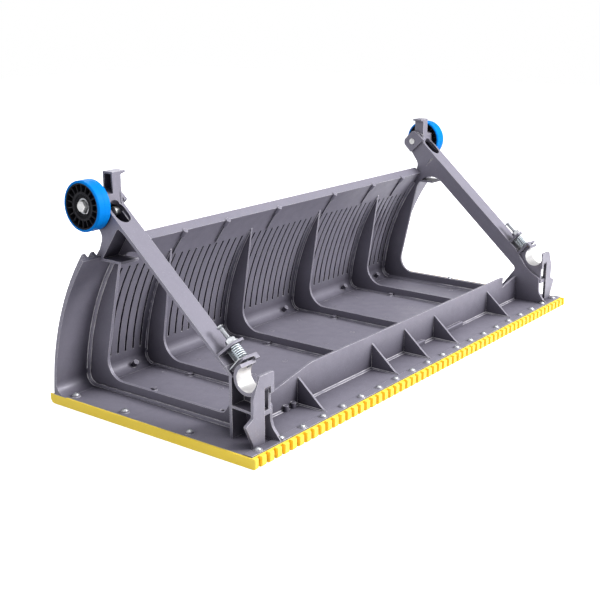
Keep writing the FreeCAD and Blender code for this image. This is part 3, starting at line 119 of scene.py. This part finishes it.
def buildPaintGroup():
    group, src, out = newGroup(
        "castPaint",
        [("Tone", "NodeSocketColor", (0.2, 0.2, 0.22, 1)), ("Rub", "NodeSocketColor", (0.5, 0.5, 0.52, 1)),
         ("PaintedShade", "NodeSocketColor", (0.05, 0.045, 0.06, 1)), ("Rough", "NodeSocketFloat", 0.42),
         ("Peel", "NodeSocketFloat", 0.12), ("Edge", "NodeSocketFloat", 0.0006), ("Reach", "NodeSocketFloat", 0.07)],
        [("Color", "NodeSocketColor"), ("Roughness", "NodeSocketFloat"), ("Normal", "NodeSocketVector")])
    coord = addNode(group, "ShaderNodeTexCoord")
    broad = addNode(group, "ShaderNodeTexNoise", values={"Scale": 7.0, "Detail": 4.0, "Roughness": 0.55})
    cloud = addNode(group, "ShaderNodeTexNoise", values={"Scale": 46.0, "Detail": 5.0, "Roughness": 0.6})
    peel = addNode(group, "ShaderNodeTexNoise", values={"Scale": 900.0, "Detail": 2.0, "Roughness": 0.5})
    grain = addNode(group, "ShaderNodeTexNoise", values={"Scale": 420.0, "Detail": 3.0, "Roughness": 0.7})
    flake = addNode(group, "ShaderNodeTexVoronoi", values={"Scale": 2600.0})
    for node in (broad, cloud, peel, grain, flake):
        joinUp(group, (coord.outputs["Object"], node.inputs["Vector"]))
    rounded = addNode(group, "ShaderNodeBevel", {"samples": 4})
    joinUp(group, (src.outputs["Edge"], rounded.inputs["Radius"]))
    geometry = addNode(group, "ShaderNodeNewGeometry")
    across = addNode(group, "ShaderNodeVectorMath", {"operation": "DOT_PRODUCT"})
    joinUp(group, (rounded.outputs[0], across.inputs[0]), (geometry.outputs["Normal"], across.inputs[1]))
    edge = ramp(group, across.outputs["Value"], 0.998, 0.90)
    broken = ramp(group, cloud.outputs["Fac"], 0.36, 0.58, 0.25, 1.0)
    rub = mathNode(group, "MULTIPLY", edge, mathNode(group, "MULTIPLY", broken, 0.8))
    tone = mixColour(group, ramp(group, broad.outputs["Fac"], 0.3, 0.7, 0.0, 0.16), src.outputs["Tone"], (0.30, 0.28, 0.33))
    tone = mixColour(group, ramp(group, cloud.outputs["Fac"], 0.35, 0.75, 0.0, 0.14), tone, (0.10, 0.095, 0.115))
    tone = mixColour(group, ramp(group, flake.outputs["Distance"], 0.0, 0.35, 0.10, 0.0), tone, (0.46, 0.45, 0.50))
    grit = ramp(group, grain.outputs["Fac"], 0.58, 0.74, 0.0, 0.30)
    tone = mixColour(group, grit, tone, (0.40, 0.39, 0.44))
    # painted shade: the occlusion mask darkens corners, creases and recesses toward the shade colour
    shade = addNode(group, "ShaderNodeAmbientOcclusion", {"samples": 8})
    joinUp(group, (src.outputs["Reach"], shade.inputs["Distance"]))
    tone = mixColour(group, ramp(group, shade.outputs["AO"], 0.30, 0.86, 0.95, 0.0), tone, src.outputs["PaintedShade"])
    tone = mixColour(group, rub, tone, src.outputs["Rub"])
    rough = mathNode(group, "ADD", src.outputs["Rough"], ramp(group, cloud.outputs["Fac"], 0.3, 0.7, -0.06, 0.08))
    bump = addNode(group, "ShaderNodeBump", values={"Distance": 0.0004})
    joinUp(group, (src.outputs["Peel"], bump.inputs["Strength"]), (peel.outputs["Fac"], bump.inputs["Height"]),
           (rounded.outputs[0], bump.inputs["Normal"]), (tone, out.inputs["Color"]), (rough, out.inputs["Roughness"]),
           (bump.outputs[0], out.inputs["Normal"]))
    return group


def buildMetalGroup():
    group, src, out = newGroup(
        "brightMetal",
        [("Tone", "NodeSocketColor", (0.7, 0.7, 0.72, 1)), ("Stain", "NodeSocketColor", (0.5, 0.48, 0.42, 1)),
         ("Rough", "NodeSocketFloat", 0.25), ("Lines", "NodeSocketFloat", 0.15), ("Stretch", "NodeSocketVector", (1, 1, 1))],
        [("Color", "NodeSocketColor"), ("Roughness", "NodeSocketFloat"), ("Normal", "NodeSocketVector")])
    coord = addNode(group, "ShaderNodeTexCoord")
    scaled = addNode(group, "ShaderNodeVectorMath", {"operation": "MULTIPLY"})
    joinUp(group, (coord.outputs["Object"], scaled.inputs[0]), (src.outputs["Stretch"], scaled.inputs[1]))
    lines = addNode(group, "ShaderNodeTexNoise", values={"Scale": 1400.0, "Detail": 3.0, "Roughness": 0.6})
    blotch = addNode(group, "ShaderNodeTexNoise", values={"Scale": 160.0, "Detail": 4.0, "Roughness": 0.6})
    joinUp(group, (scaled.outputs[0], lines.inputs["Vector"]), (coord.outputs["Object"], blotch.inputs["Vector"]))
    rounded = addNode(group, "ShaderNodeBevel", {"samples": 4}, {"Radius": 0.0003})
    tone = mixColour(group, ramp(group, blotch.outputs["Fac"], 0.45, 0.75, 0.0, 0.35), src.outputs["Tone"], src.outputs["Stain"])
    tone = mixColour(group, ramp(group, lines.outputs["Fac"], 0.3, 0.7, 0.0, 0.18), tone, (0.9, 0.9, 0.92))
    rough = mathNode(group, "ADD", src.outputs["Rough"], ramp(group, blotch.outputs["Fac"], 0.3, 0.7, -0.05, 0.12))
    bump = addNode(group, "ShaderNodeBump", values={"Distance": 0.0002})
    joinUp(group, (src.outputs["Lines"], bump.inputs["Strength"]), (lines.outputs["Fac"], bump.inputs["Height"]),
           (rounded.outputs[0], bump.inputs["Normal"]), (tone, out.inputs["Color"]), (rough, out.inputs["Roughness"]),
           (bump.outputs[0], out.inputs["Normal"]))
    return group


def buildPolymerGroup():
    group, src, out = newGroup(
        "mouldedPolymer",
        [("Tone", "NodeSocketColor", (0.8, 0.5, 0.05, 1)), ("PaintedShade", "NodeSocketColor", (0.5, 0.2, 0.01, 1)),
         ("Scuff", "NodeSocketColor", (0.9, 0.8, 0.5, 1)), ("Rough", "NodeSocketFloat", 0.4),
         ("Grain", "NodeSocketFloat", 0.1), ("Reach", "NodeSocketFloat", 0.006)],
        [("Color", "NodeSocketColor"), ("Roughness", "NodeSocketFloat"), ("Normal", "NodeSocketVector")])
    coord = addNode(group, "ShaderNodeTexCoord")
    flow = addNode(group, "ShaderNodeTexNoise", values={"Scale": 22.0, "Detail": 3.0, "Distortion": 0.6})
    grain = addNode(group, "ShaderNodeTexNoise", values={"Scale": 1500.0, "Detail": 2.0})
    scratch = addNode(group, "ShaderNodeTexNoise", values={"Scale": 240.0, "Detail": 6.0, "Roughness": 0.7})
    for node in (flow, grain, scratch):
        joinUp(group, (coord.outputs["Object"], node.inputs["Vector"]))
    # painted shade: the occlusion mask darkens cavities and the gaps between teeth toward the shade colour
    shade = addNode(group, "ShaderNodeAmbientOcclusion", {"samples": 6, "only_local": True})
    joinUp(group, (src.outputs["Reach"], shade.inputs["Distance"]))
    rounded = addNode(group, "ShaderNodeBevel", {"samples": 4}, {"Radius": 0.0005})
    tone = mixColour(group, ramp(group, flow.outputs["Fac"], 0.35, 0.7, 0.0, 0.12), src.outputs["Tone"], src.outputs["Scuff"])
    tone = mixColour(group, ramp(group, scratch.outputs["Fac"], 0.62, 0.72, 0.0, 0.22), tone, src.outputs["Scuff"])
    tone = mixColour(group, ramp(group, shade.outputs["AO"], 0.35, 0.85, 1.0, 0.0), tone, src.outputs["PaintedShade"])
    rough = mathNode(group, "ADD", src.outputs["Rough"], ramp(group, scratch.outputs["Fac"], 0.4, 0.7, -0.05, 0.12))
    bump = addNode(group, "ShaderNodeBump", values={"Distance": 0.0003})
    joinUp(group, (src.outputs["Grain"], bump.inputs["Strength"]), (grain.outputs["Fac"], bump.inputs["Height"]),
           (rounded.outputs[0], bump.inputs["Normal"]), (tone, out.inputs["Color"]), (rough, out.inputs["Roughness"]),
           (bump.outputs[0], out.inputs["Normal"]))
    return group


groups = {"paint": buildPaintGroup(), "metal": buildMetalGroup(), "polymer": buildPolymerGroup()}


def buildMaterial(name, kind, values, metallic=0.0, extra=None):
    mat = bpy.data.materials.new(name)
    mat.use_nodes = True
    tree = mat.node_tree
    principled = tree.nodes["Principled BSDF"]
    node = tree.nodes.new("ShaderNodeGroup")
    node.node_tree = groups[kind]
    for key, value in values.items():
        node.inputs[key].default_value = value
    principled.inputs["Metallic"].default_value = metallic
    for key, value in (extra or {}).items():
        principled.inputs[key].default_value = value
    joinUp(tree, (node.outputs["Color"], principled.inputs["Base Color"]),
           (node.outputs["Roughness"], principled.inputs["Roughness"]),
           (node.outputs["Normal"], principled.inputs["Normal"]))
    return mat


# the darkest colour here is painted shade, laid into corners and recesses by the occlusion mask
castTone = {"Tone": (0.207, 0.197, 0.242, 1), "Rub": (0.72, 0.70, 0.73, 1), "PaintedShade": (0.035, 0.031, 0.046, 1), "Rough": 0.45,
            "Peel": 0.14, "Edge": 0.0011, "Reach": 0.085}
# in every finish the darkest colour is painted shade laid into recesses by the occlusion mask; on the yellow strips it
# is the amber shade between the teeth
mats = {
    "cast": buildMaterial("castGreyPaint", "paint", castTone, 0.15, {"Specular IOR Level": 0.3}),
    "yellow": buildMaterial(
        "yellowStrip", "polymer",
        {"Tone": (1.0, 0.74, 0.07, 1), "PaintedShade": (0.85, 0.38, 0.002, 1), "Scuff": (1.0, 0.79, 0.16, 1), "Rough": 0.40,
         "Grain": 0.06, "Reach": 0.008}, 0.0, {"Specular IOR Level": 0.25}),
    "zinc": buildMaterial(
        "zincPlate", "metal",
        {"Tone": (0.33, 0.34, 0.36, 1), "Stain": (0.17, 0.18, 0.20, 1), "Rough": 0.36, "Lines": 0.12}, 0.85),
    "springWire": buildMaterial(
        "springWire", "metal",
        {"Tone": (0.80, 0.88, 0.92, 1), "Stain": (0.55, 0.66, 0.70, 1), "Rough": 0.30, "Lines": 0.05}, 0.7),
    "brightZinc": buildMaterial(
        "brightZinc", "metal",
        {"Tone": (0.56, 0.56, 0.55, 1), "Stain": (0.36, 0.35, 0.33, 1), "Rough": 0.34, "Lines": 0.15}, 0.6),
    # dark pin finish, set darker still as painted shade for the pin's run inside the spring
    "darkPin": buildMaterial(
        "darkPin", "metal",
        {"Tone": (0.11, 0.12, 0.14, 1), "Stain": (0.06, 0.065, 0.08, 1), "Rough": 0.34, "Lines": 0.2,
         "Stretch": (1, 0.3, 0.3)}, 0.85),
    "bearing": buildMaterial(
        "bearingSteel", "metal",
        {"Tone": (0.62, 0.62, 0.64, 1), "Stain": (0.40, 0.39, 0.38, 1), "Rough": 0.22, "Lines": 0.2,
         "Stretch": (0.1, 1, 1)}, 0.95),
    "tyre": buildMaterial(
        "blueTyre", "polymer",
        {"Tone": (0.0, 0.198, 0.66, 1), "PaintedShade": (0.0, 0.08, 0.33, 1), "Scuff": (0.0, 0.25, 0.73, 1), "Rough": 0.5,
         "Grain": 0.12, "Reach": 0.004}, 0.0, {"Specular IOR Level": 0.06}),
    "hub": buildMaterial(
        "blackHub", "polymer",
        {"Tone": (0.008, 0.008, 0.011, 1), "PaintedShade": (0.003, 0.003, 0.004, 1), "Scuff": (0.035, 0.036, 0.045, 1),
         "Rough": 0.5, "Grain": 0.25, "Reach": 0.006}, 0.0, {"Specular IOR Level": 0.12}),
    "seal": buildMaterial(
        "sealRubber", "polymer",
        {"Tone": (0.02, 0.02, 0.02, 1), "PaintedShade": (0.006, 0.006, 0.006, 1), "Scuff": (0.07, 0.07, 0.07, 1), "Rough": 0.7,
         "Grain": 0.3}),
}


def buildSeatMaterial():
    mat = bpy.data.materials.new("castSeat")
    mat.use_nodes = True
    tree = mat.node_tree
    principled = tree.nodes["Principled BSDF"]
    paint = tree.nodes.new("ShaderNodeGroup")
    paint.node_tree = groups["paint"]
    for key, value in castTone.items():
        paint.inputs[key].default_value = value
    metal = tree.nodes.new("ShaderNodeGroup")
    metal.node_tree = groups["metal"]
    for key, value in {"Tone": (0.50, 0.49, 0.49, 1), "Stain": (0.34, 0.32, 0.32, 1), "Rough": 0.34, "Lines": 0.3,
                       "Stretch": (1.6, 0.12, 0.12)}.items():
        metal.inputs[key].default_value = value
    coord = addNode(tree, "ShaderNodeTexCoord")
    parts = addNode(tree, "ShaderNodeSeparateXYZ")
    joinUp(tree, (coord.outputs["Object"], parts.inputs[0]))
    centre = at(0, seat["y"], seat["z"])
    dy = mathNode(tree, "SUBTRACT", parts.outputs[1], centre.y)
    dz = mathNode(tree, "SUBTRACT", parts.outputs[2], centre.z)
    squares = mathNode(tree, "ADD", mathNode(tree, "MULTIPLY", dy, dy), mathNode(tree, "MULTIPLY", dz, dz))
    radius = mathNode(tree, "SQRT", squares)
    inside = ramp(tree, radius, 0.0181, 0.0184, 1.0, 0.0)  # just outside the machined bore
    colour = mixColour(tree, inside, paint.outputs["Color"], metal.outputs["Color"])
    rough = addNode(tree, "ShaderNodeMix", {"data_type": "FLOAT"})
    joinUp(tree, (inside, rough.inputs[0]), (paint.outputs["Roughness"], rough.inputs[2]),
           (metal.outputs["Roughness"], rough.inputs[3]))
    shine = ramp(tree, inside, 0.0, 1.0, 0.22, 0.75)
    joinUp(tree, (colour, principled.inputs["Base Color"]), (rough.outputs[0], principled.inputs["Roughness"]),
           (shine, principled.inputs["Metallic"]), (paint.outputs["Normal"], principled.inputs["Normal"]))
    return mat


mats["seat"] = buildSeatMaterial()

nodeFinish = [
    ("axle_seat", "seat"), ("comb_screws", "zinc"), ("strip_screws", "zinc"), ("comb_strip", "yellow"),
    ("side_strip", "yellow"), ("lock_spring", "springWire"), ("lock_pin", "darkPin"), ("lock_", "zinc"), ("tail_clip", "zinc"),
    ("spring_guard", "zinc"), ("roller_tyre", "tyre"), ("roller_hub", "hub"), ("bearing_seals", "seal"),
    ("bearing_", "bearing"), ("roller_bolt", "brightZinc"), ("roller_nut", "zinc"), ("head_screw", "brightZinc"),
    ("roller_spacer", "zinc"),
]


def finishFor(nodeName):
    for key, finish in nodeFinish:
        if key in nodeName:
            return mats[finish]
    return mats["cast"]


def dressNodes():
    for nodeName, obj in nodes.items():
        for holder in obj.material_slots:
            holder.material = finishFor(nodeName)


dressNodes()
print("materials on", len(nodes), "nodes")


sharpAngle = math.radians(32)


def makePiece(name, mesh, body, finish):
    bmesh.ops.remove_doubles(mesh, verts=mesh.verts, dist=0.000001)  # doubles go before the normals are set
    bmesh.ops.recalc_face_normals(mesh, faces=mesh.faces)
    for face in mesh.faces:
        face.smooth = True
    for edge in mesh.edges:
        edge.smooth = edge.calc_face_angle(0.0) < sharpAngle
    data = bpy.data.meshes.new(name)
    mesh.to_mesh(data)
    mesh.free()
    data.materials.append(mats[finish])
    obj = bpy.data.objects.new(name, data)
    scene.collection.objects.link(obj)
    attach(obj, body)
    return obj


def onlyFaces(geom):
    return [item for item in geom if isinstance(item, bmesh.types.BMFace)]


def coveSection(mesh, base, side, up, radius, steps=5):  # cast radius in the corner of two walls
    middle = base + (side + up) * radius
    points = [base - (side + up) * 0.0004]  # a little inside the casting
    for i in range(steps + 1):
        turn = math.radians(90 * i / steps)
        points.append(middle - (side * math.cos(turn) + up * math.sin(turn)) * radius)
    return mesh.faces.new([mesh.verts.new(p) for p in points])


def pullStraight(mesh, face, move):
    made = bmesh.ops.extrude_face_region(mesh, geom=[face])["geom"]
    moved = [item for item in made if isinstance(item, bmesh.types.BMVert)]
    bmesh.ops.translate(mesh, verts=moved, vec=move)
    return onlyFaces(made)[0]


def pullRound(mesh, face, centre, angle, steps):  # about an axis along the step's width
    made = bmesh.ops.spin(mesh, geom=[face], cent=centre, axis=(1, 0, 0), dvec=(0, 0, 0), angle=angle, steps=steps,
                          use_merge=False, use_duplicate=False)
    return onlyFaces(made["geom_last"])[0]


def turnedRing(mesh, start, along, outline, steps, angle=2 * math.pi):  # outline is (distance, radius) in mm
    along = along.normalized()
    side = along.orthogonal().normalized()
    verts = [mesh.verts.new(start + along * d / 1000 + side * r / 1000) for d, r in outline]
    whole = angle > 6.28
    if whole:
        geom = verts + [mesh.edges.new((verts[i - 1], verts[i])) for i in range(len(verts))]
    else:
        geom = [mesh.faces.new(verts)]
    bmesh.ops.spin(mesh, geom=geom, cent=start, axis=along, dvec=(0, 0, 0), angle=angle, steps=steps,
                   use_merge=whole, use_duplicate=False)


def standCone(mesh, place, facing, segments, foot, top, high):  # radii and height in mm
    turn = facing.to_track_quat("Z", "Y").to_matrix().to_4x4()
    bmesh.ops.create_cone(mesh, cap_ends=True, segments=segments, radius1=foot / 1000, radius2=top / 1000,
                          depth=high / 1000, matrix=Matrix.Translation(place) @ turn)


# cast radii along the ribs, the side frames and the cross beam
ribCove = {"radius": 3.2, "halfRib": 2.0, "from": 83.0, "to": 32.6}
webCove = {"radius": 5.0, "from": 84.0, "outerFrom": 79.0, "to": 35.6}
beamCove = {"radius": 3.4, "front": 78.0, "rear": 82.0, "reach": 428.0}

cornerZ = step["tread"] + step["corner"]
cornerY = math.sqrt((step["inner"] - step["corner"]) ** 2 - cornerZ ** 2)
touchAngle = math.atan2(cornerZ, cornerY)


def coveUpRiser(mesh, x, sideX, startY, radius, endAngle):  # along the tread, round the corner, up the riser
    face = coveSection(mesh, at(x, startY, step["tread"]), Vector((sideX, 0, 0)), Vector((0, 0, 1)), radius / 1000)
    face = pullStraight(mesh, face, Vector((0, (cornerY - startY) / 1000, 0)))
    face = pullRound(mesh, face, at(x, cornerY, cornerZ), math.pi / 2 + touchAngle, 8)
    pullRound(mesh, face, at(x, 0, 0), math.radians(endAngle) - touchAngle, 14)


covers = bmesh.new()
for x in ribAt:
    for side in (-1, 1):
        coveUpRiser(covers, x + side * ribCove["halfRib"], side, ribCove["from"], ribCove["radius"], ribCove["to"])
for side in (-1, 1):
    coveUpRiser(covers, side * web["inner"], -side, webCove["from"], webCove["radius"], webCove["to"])
    coveUpRiser(covers, side * web["outer"], side, webCove["outerFrom"], webCove["radius"], webCove["to"])
for y, way in ((beamCove["front"], -1), (beamCove["rear"], 1)):
    place = at(-beamCove["reach"], y, step["tread"])
    face = coveSection(covers, place, Vector((0, way, 0)), Vector((0, 0, 1)), beamCove["radius"] / 1000)
    pullStraight(covers, face, Vector((2 * beamCove["reach"] / 1000, 0, 0)))
makePiece("castFillets", covers, "step_frame", "cast")
print("radii along ribs, frames and beam")

# cast radii beside the gussets and under the arms' top flanges
gussetCove = {"radius": 2.4, "half": 1.75, "from": 27.0, "to": 77.5}
armCove = {"radius": 4.0, "from": 60.0, "to": 326.0, "under": -21.4}

armSides = bmesh.new()
for x in gussetAt:
    for side in (-1, 1):
        place = at(x + side * gussetCove["half"], gussetCove["from"], step["tread"])
        face = coveSection(armSides, place, Vector((side, 0, 0)), Vector((0, 0, 1)), gussetCove["radius"] / 1000)
        pullStraight(armSides, face, Vector((0, (gussetCove["to"] - gussetCove["from"]) / 1000, 0)))
armDown = Vector((0, math.sin(armAngle), -math.cos(armAngle)))
for side in (-1, 1):
    start = armAt(armCove["from"], armCove["under"], side * web["outer"])
    end = armAt(armCove["to"], armCove["under"], side * web["outer"])
    face = coveSection(armSides, start, Vector((side, 0, 0)), armDown, armCove["radius"] / 1000)
    pullStraight(armSides, face, end - start)
makePiece("gussetFillets", armSides, "step_frame", "cast")
print("radii at gussets and arms")

# round marks that the die's ejector pins left on the tread
ejector = {"radius": 4.6, "rim": 0.5, "high": 0.25, "rows": (128.0, 216.0, 340.0),
           "bays": (-368.0, -203.2, 0.0, 203.2, 368.0), "apart": 42.0}

marks = bmesh.new()
for x in ejector["bays"]:
    for y in ejector["rows"]:
        for dx in (-ejector["apart"], ejector["apart"]):
            if abs(x + dx) > 415 or (x + dx + 394) ** 2 + (y - 153) ** 2 < 300:  # clear of the side frames and the drain
                continue
            outline = [(-0.2, ejector["radius"] - ejector["rim"]), (ejector["high"], ejector["radius"] - ejector["rim"]),
                       (ejector["high"], ejector["radius"]), (-0.2, ejector["radius"] + 0.2)]
            turnedRing(marks, at(x + dx + random.uniform(-0.5, 0.5), y, step["tread"]), Vector((0, 0, 1)), outline, 28)
makePiece("ejectorMarks", marks, "step_frame", "cast")
print("ejector marks")

# radii cast round the foot of every screw boss and stud
comb = {"count": 20, "pitch": 50.2, "y": 16.0, "rim": 17.5}
boss = {"radius": 6.2, "side": 488.0, "rows": (133.0, 264.0, 372.0), "cove": 1.4, "combCove": 0.9}
stud = {"radius": 4.6, "y": 295.0, "first": -396.0, "back": 6.6, "cove": 1.6}


def footOutline(radius, cove):
    outline = [(-0.3, radius - 0.4), (-0.3, radius + cove)]
    for i in range(6):
        turn = math.radians(90 * i / 5)
        outline.append((cove * (1 - math.cos(turn)), radius + cove * (1 - math.sin(turn))))
    return outline + [(cove + 0.2, radius - 0.4)]


feet = bmesh.new()
upward = Vector((0, 0, 1))
for i in range(comb["count"]):
    x = -step["half"] + (i + 0.5) * comb["pitch"]
    if abs(abs(x) - 432.5) > 11:  # clear of the side frames
        turnedRing(feet, at(x, comb["y"], comb["rim"]), upward, footOutline(boss["radius"], boss["combCove"]), 28)
for side in (-1, 1):
    for y in boss["rows"]:
        turnedRing(feet, at(side * boss["side"], y, step["tread"]), upward, footOutline(boss["radius"], boss["cove"]), 28)
for x in [stud["first"]] + [r - stud["back"] for r in ribAt]:
    turnedRing(feet, at(x, stud["y"], step["tread"]), upward, footOutline(stud["radius"], stud["cove"]), 28)
makePiece("bossFeet", feet, "step_frame", "cast")
print("boss feet")

# mould rings and seam on the rollers, crown on the bolt's head, circlip in front of the bearing
hubRings = [(489.55, 14.2, 0.5), (489.55, 16.6, 0.4), (491.0, 33.3, 0.5), (469.0, 15.0, 0.5), (469.0, 33.3, 0.5)]
boltCrown = {"x": 492.5, "foot": 6.9, "top": 5.6, "high": 0.8}
tyreSeam = {"x": 480.0, "half": 0.25, "high": 0.18}
circlip = {"inner": 9.2, "outer": 11.9, "x": 486.1, "thick": 1.0, "open": 34.0}
gate = {"count": 6, "ring": 18.8, "radius": 1.1, "high": 0.5, "x": 489.5}  # pins of the hub's mould

for sideName, side in (("left", -1), ("right", 1)):
    outward = Vector((side, 0, 0))
    rings = bmesh.new()
    for x, radius, wide in hubRings:
        facing = outward if x > roller["mid"] else -outward
        outline = [(-0.3, radius - wide), (0.25, radius - wide * 0.6), (0.25, radius + wide * 0.6),
                   (-0.3, radius + wide)]
        turnedRing(rings, at(side * x, roller["y"], roller["z"]), facing, outline, 72)
    for i in range(gate["count"]):
        turn = 2 * math.pi * (i + 0.5) / gate["count"]
        place = at(side * gate["x"], roller["y"] + gate["ring"] * math.cos(turn),
                   roller["z"] + gate["ring"] * math.sin(turn))
        standCone(rings, place, outward, 16, gate["radius"], gate["radius"] * 0.8, gate["high"])
    makePiece(sideName + "HubRings", rings, sideName + "_roller", "hub")

    seam = bmesh.new()
    half = tyreSeam["half"]
    top = roller["r"] + tyreSeam["high"]
    outline = [(-half, roller["r"] - 0.4), (-half * 0.6, top), (half * 0.6, top), (half, roller["r"] - 0.4)]
    turnedRing(seam, at(side * tyreSeam["x"], roller["y"], roller["z"]), outward, outline, 120)
    makePiece(sideName + "TyreSeam", seam, sideName + "_roller", "tyre")

    crown = bmesh.new()
    place = at(side * (boltCrown["x"] + boltCrown["high"] / 2 - 0.15), roller["y"], roller["z"])
    standCone(crown, place, outward, 48, boltCrown["foot"], boltCrown["top"], boltCrown["high"] + 0.3)
    caps = [face for face in crown.faces if len(face.verts) > 4]
    topFace = [face for face in caps if (face.calc_center_median() - place).dot(outward) > 0]
    bmesh.ops.inset_region(crown, faces=topFace, thickness=0.0012, depth=0.0)
    bmesh.ops.inset_region(crown, faces=topFace, thickness=0.0012, depth=-0.0003)  # shallow dish in the head
    makePiece(sideName + "BoltCrown", crown, "step_frame", "brightZinc")

    clip = bmesh.new()
    outline = [(0, circlip["inner"]), (circlip["thick"], circlip["inner"] + 0.3),
               (circlip["thick"], circlip["outer"] - 0.3), (0, circlip["outer"])]
    place = at(side * circlip["x"], roller["y"], roller["z"])
    turnedRing(clip, place, outward, outline, 44, math.radians(360 - circlip["open"]))
    makePiece(sideName + "Circlip", clip, sideName + "_roller", "zinc")
print("roller details")

# rolled thread behind the nut on each lock pin
thread = {"from": 68.4, "to": 84.8, "pitch": 1.25, "root": 2.9, "crest": 3.35}


def threadOutline():
    outline = [(0.0, thread["root"] - 1.0), (0.0, thread["root"])]
    count = int((thread["to"] - thread["from"]) / thread["pitch"])
    for i in range(count):
        d = i * thread["pitch"]
        outline += [(d + 0.45 * thread["pitch"], thread["crest"]), (d + 0.6 * thread["pitch"], thread["crest"]),
                    (d + thread["pitch"], thread["root"])]
    outline.append((count * thread["pitch"], thread["root"] - 1.0))
    return outline


for sideName, side in (("left", -1), ("right", 1)):
    along = Vector((0, math.cos(armAngle), math.sin(armAngle)))
    ridges = bmesh.new()
    turnedRing(ridges, armAt(thread["from"], 0, side * pinX), along, threadOutline(), 28)
    makePiece(sideName + "PinThread", ridges, sideName + "_lock", "zinc")
print("threads")


def seenRays(tree):  # rays that meet the white background: from the camera, off metal, through glass
    path = addNode(tree, "ShaderNodeLightPath")
    straight = mathNode(tree, "ADD", path.outputs["Is Camera Ray"], path.outputs["Is Glossy Ray"], True)
    return mathNode(tree, "ADD", straight, path.outputs["Is Transmission Ray"], True)


def buildFloor():
    mesh = bmesh.new()
    bmesh.ops.create_grid(mesh, x_segments=1, y_segments=1, size=6.0)
    for vert in mesh.verts:
        vert.co.z = -0.0005
    data = bpy.data.meshes.new("studioFloor")
    mesh.to_mesh(data)
    mesh.free()
    mat = bpy.data.materials.new("studioFloor")
    mat.use_nodes = True
    tree = mat.node_tree
    shader = tree.nodes["Principled BSDF"]
    seen = seenRays(tree)
    joinUp(tree, (mixColour(tree, seen, (0.42, 0.42, 0.44), (0.97, 0.97, 0.972)), shader.inputs["Base Color"]),
           (mathNode(tree, "MULTIPLY", seen, 0.75), shader.inputs["Emission Strength"]))
    shader.inputs["Roughness"].default_value = 0.7
    shader.inputs["Emission Color"].default_value = (1, 1, 1, 1)
    data.materials.append(mat)
    obj = bpy.data.objects.new("studioFloor", data)
    scene.collection.objects.link(obj)


def addArea(name, place, target, size, power, tint=(1, 1, 1)):
    data = bpy.data.lights.new(name, "AREA")
    data.shape = "RECTANGLE"
    data.size, data.size_y = size
    data.energy = power
    data.color = tint
    obj = bpy.data.objects.new(name, data)
    obj.location = place
    obj.rotation_euler = (Vector(target) - Vector(place)).to_track_quat("-Z", "Y").to_euler()
    scene.collection.objects.link(obj)


def buildWorld():
    world = bpy.data.worlds.new("studioWorld")
    scene.world = world
    world.use_nodes = True
    tree = world.node_tree
    tree.nodes.clear()
    out = addNode(tree, "ShaderNodeOutputWorld")
    lit = addNode(tree, "ShaderNodeBackground", values={"Strength": 1.0})
    seen = addNode(tree, "ShaderNodeBackground", values={"Color": (1, 1, 1, 1), "Strength": 1.0})
    mix = addNode(tree, "ShaderNodeMixShader")
    coord = addNode(tree, "ShaderNodeTexCoord")
    parts = addNode(tree, "ShaderNodeSeparateXYZ")
    joinUp(tree, (coord.outputs["Generated"], parts.inputs[0]))
    colour = mixColour(tree, ramp(tree, parts.outputs[2], -0.1, 0.75), (0.08, 0.08, 0.10), (0.31, 0.32, 0.37))
    joinUp(tree, (colour, lit.inputs["Color"]), (seenRays(tree), mix.inputs[0]),
           (lit.outputs[0], mix.inputs[1]), (seen.outputs[0], mix.inputs[2]), (mix.outputs[0], out.inputs["Surface"]))


buildFloor()
buildWorld()
addArea("frontSoftbox", (0.9, -2.1, 1.7), (0, 0.05, 0.12), (1.4, 0.9), 114)
addArea("topSoftbox", (-0.2, -0.5, 2.4), (0, 0.05, 0.1), (2.0, 1.0), 22)
addArea("leftSoftbox", (-2.6, -0.6, 0.9), (-0.3, -0.1, 0.1), (1.0, 0.8), 17)
addArea("rearSoftbox", (0.9, 2.2, 1.4), (0.1, 0.1, 0.2), (2.2, 0.9), 26, (0.95, 0.96, 1.0))

lens = {"focal": 63.36, "place": at(-1501.8, -833.5, 609.4), "turn": (74.09, 0.0, -52.81)}
camData = bpy.data.cameras.new("photoCamera")
camData.lens = lens["focal"]
camData.sensor_width = 36.0
camera = bpy.data.objects.new("photoCamera", camData)
camera.location = lens["place"]
camera.rotation_euler = [math.radians(a) for a in lens["turn"]]
scene.collection.objects.link(camera)
scene.camera = camera
scene.view_settings.view_transform = "Standard"
print("studio ready")
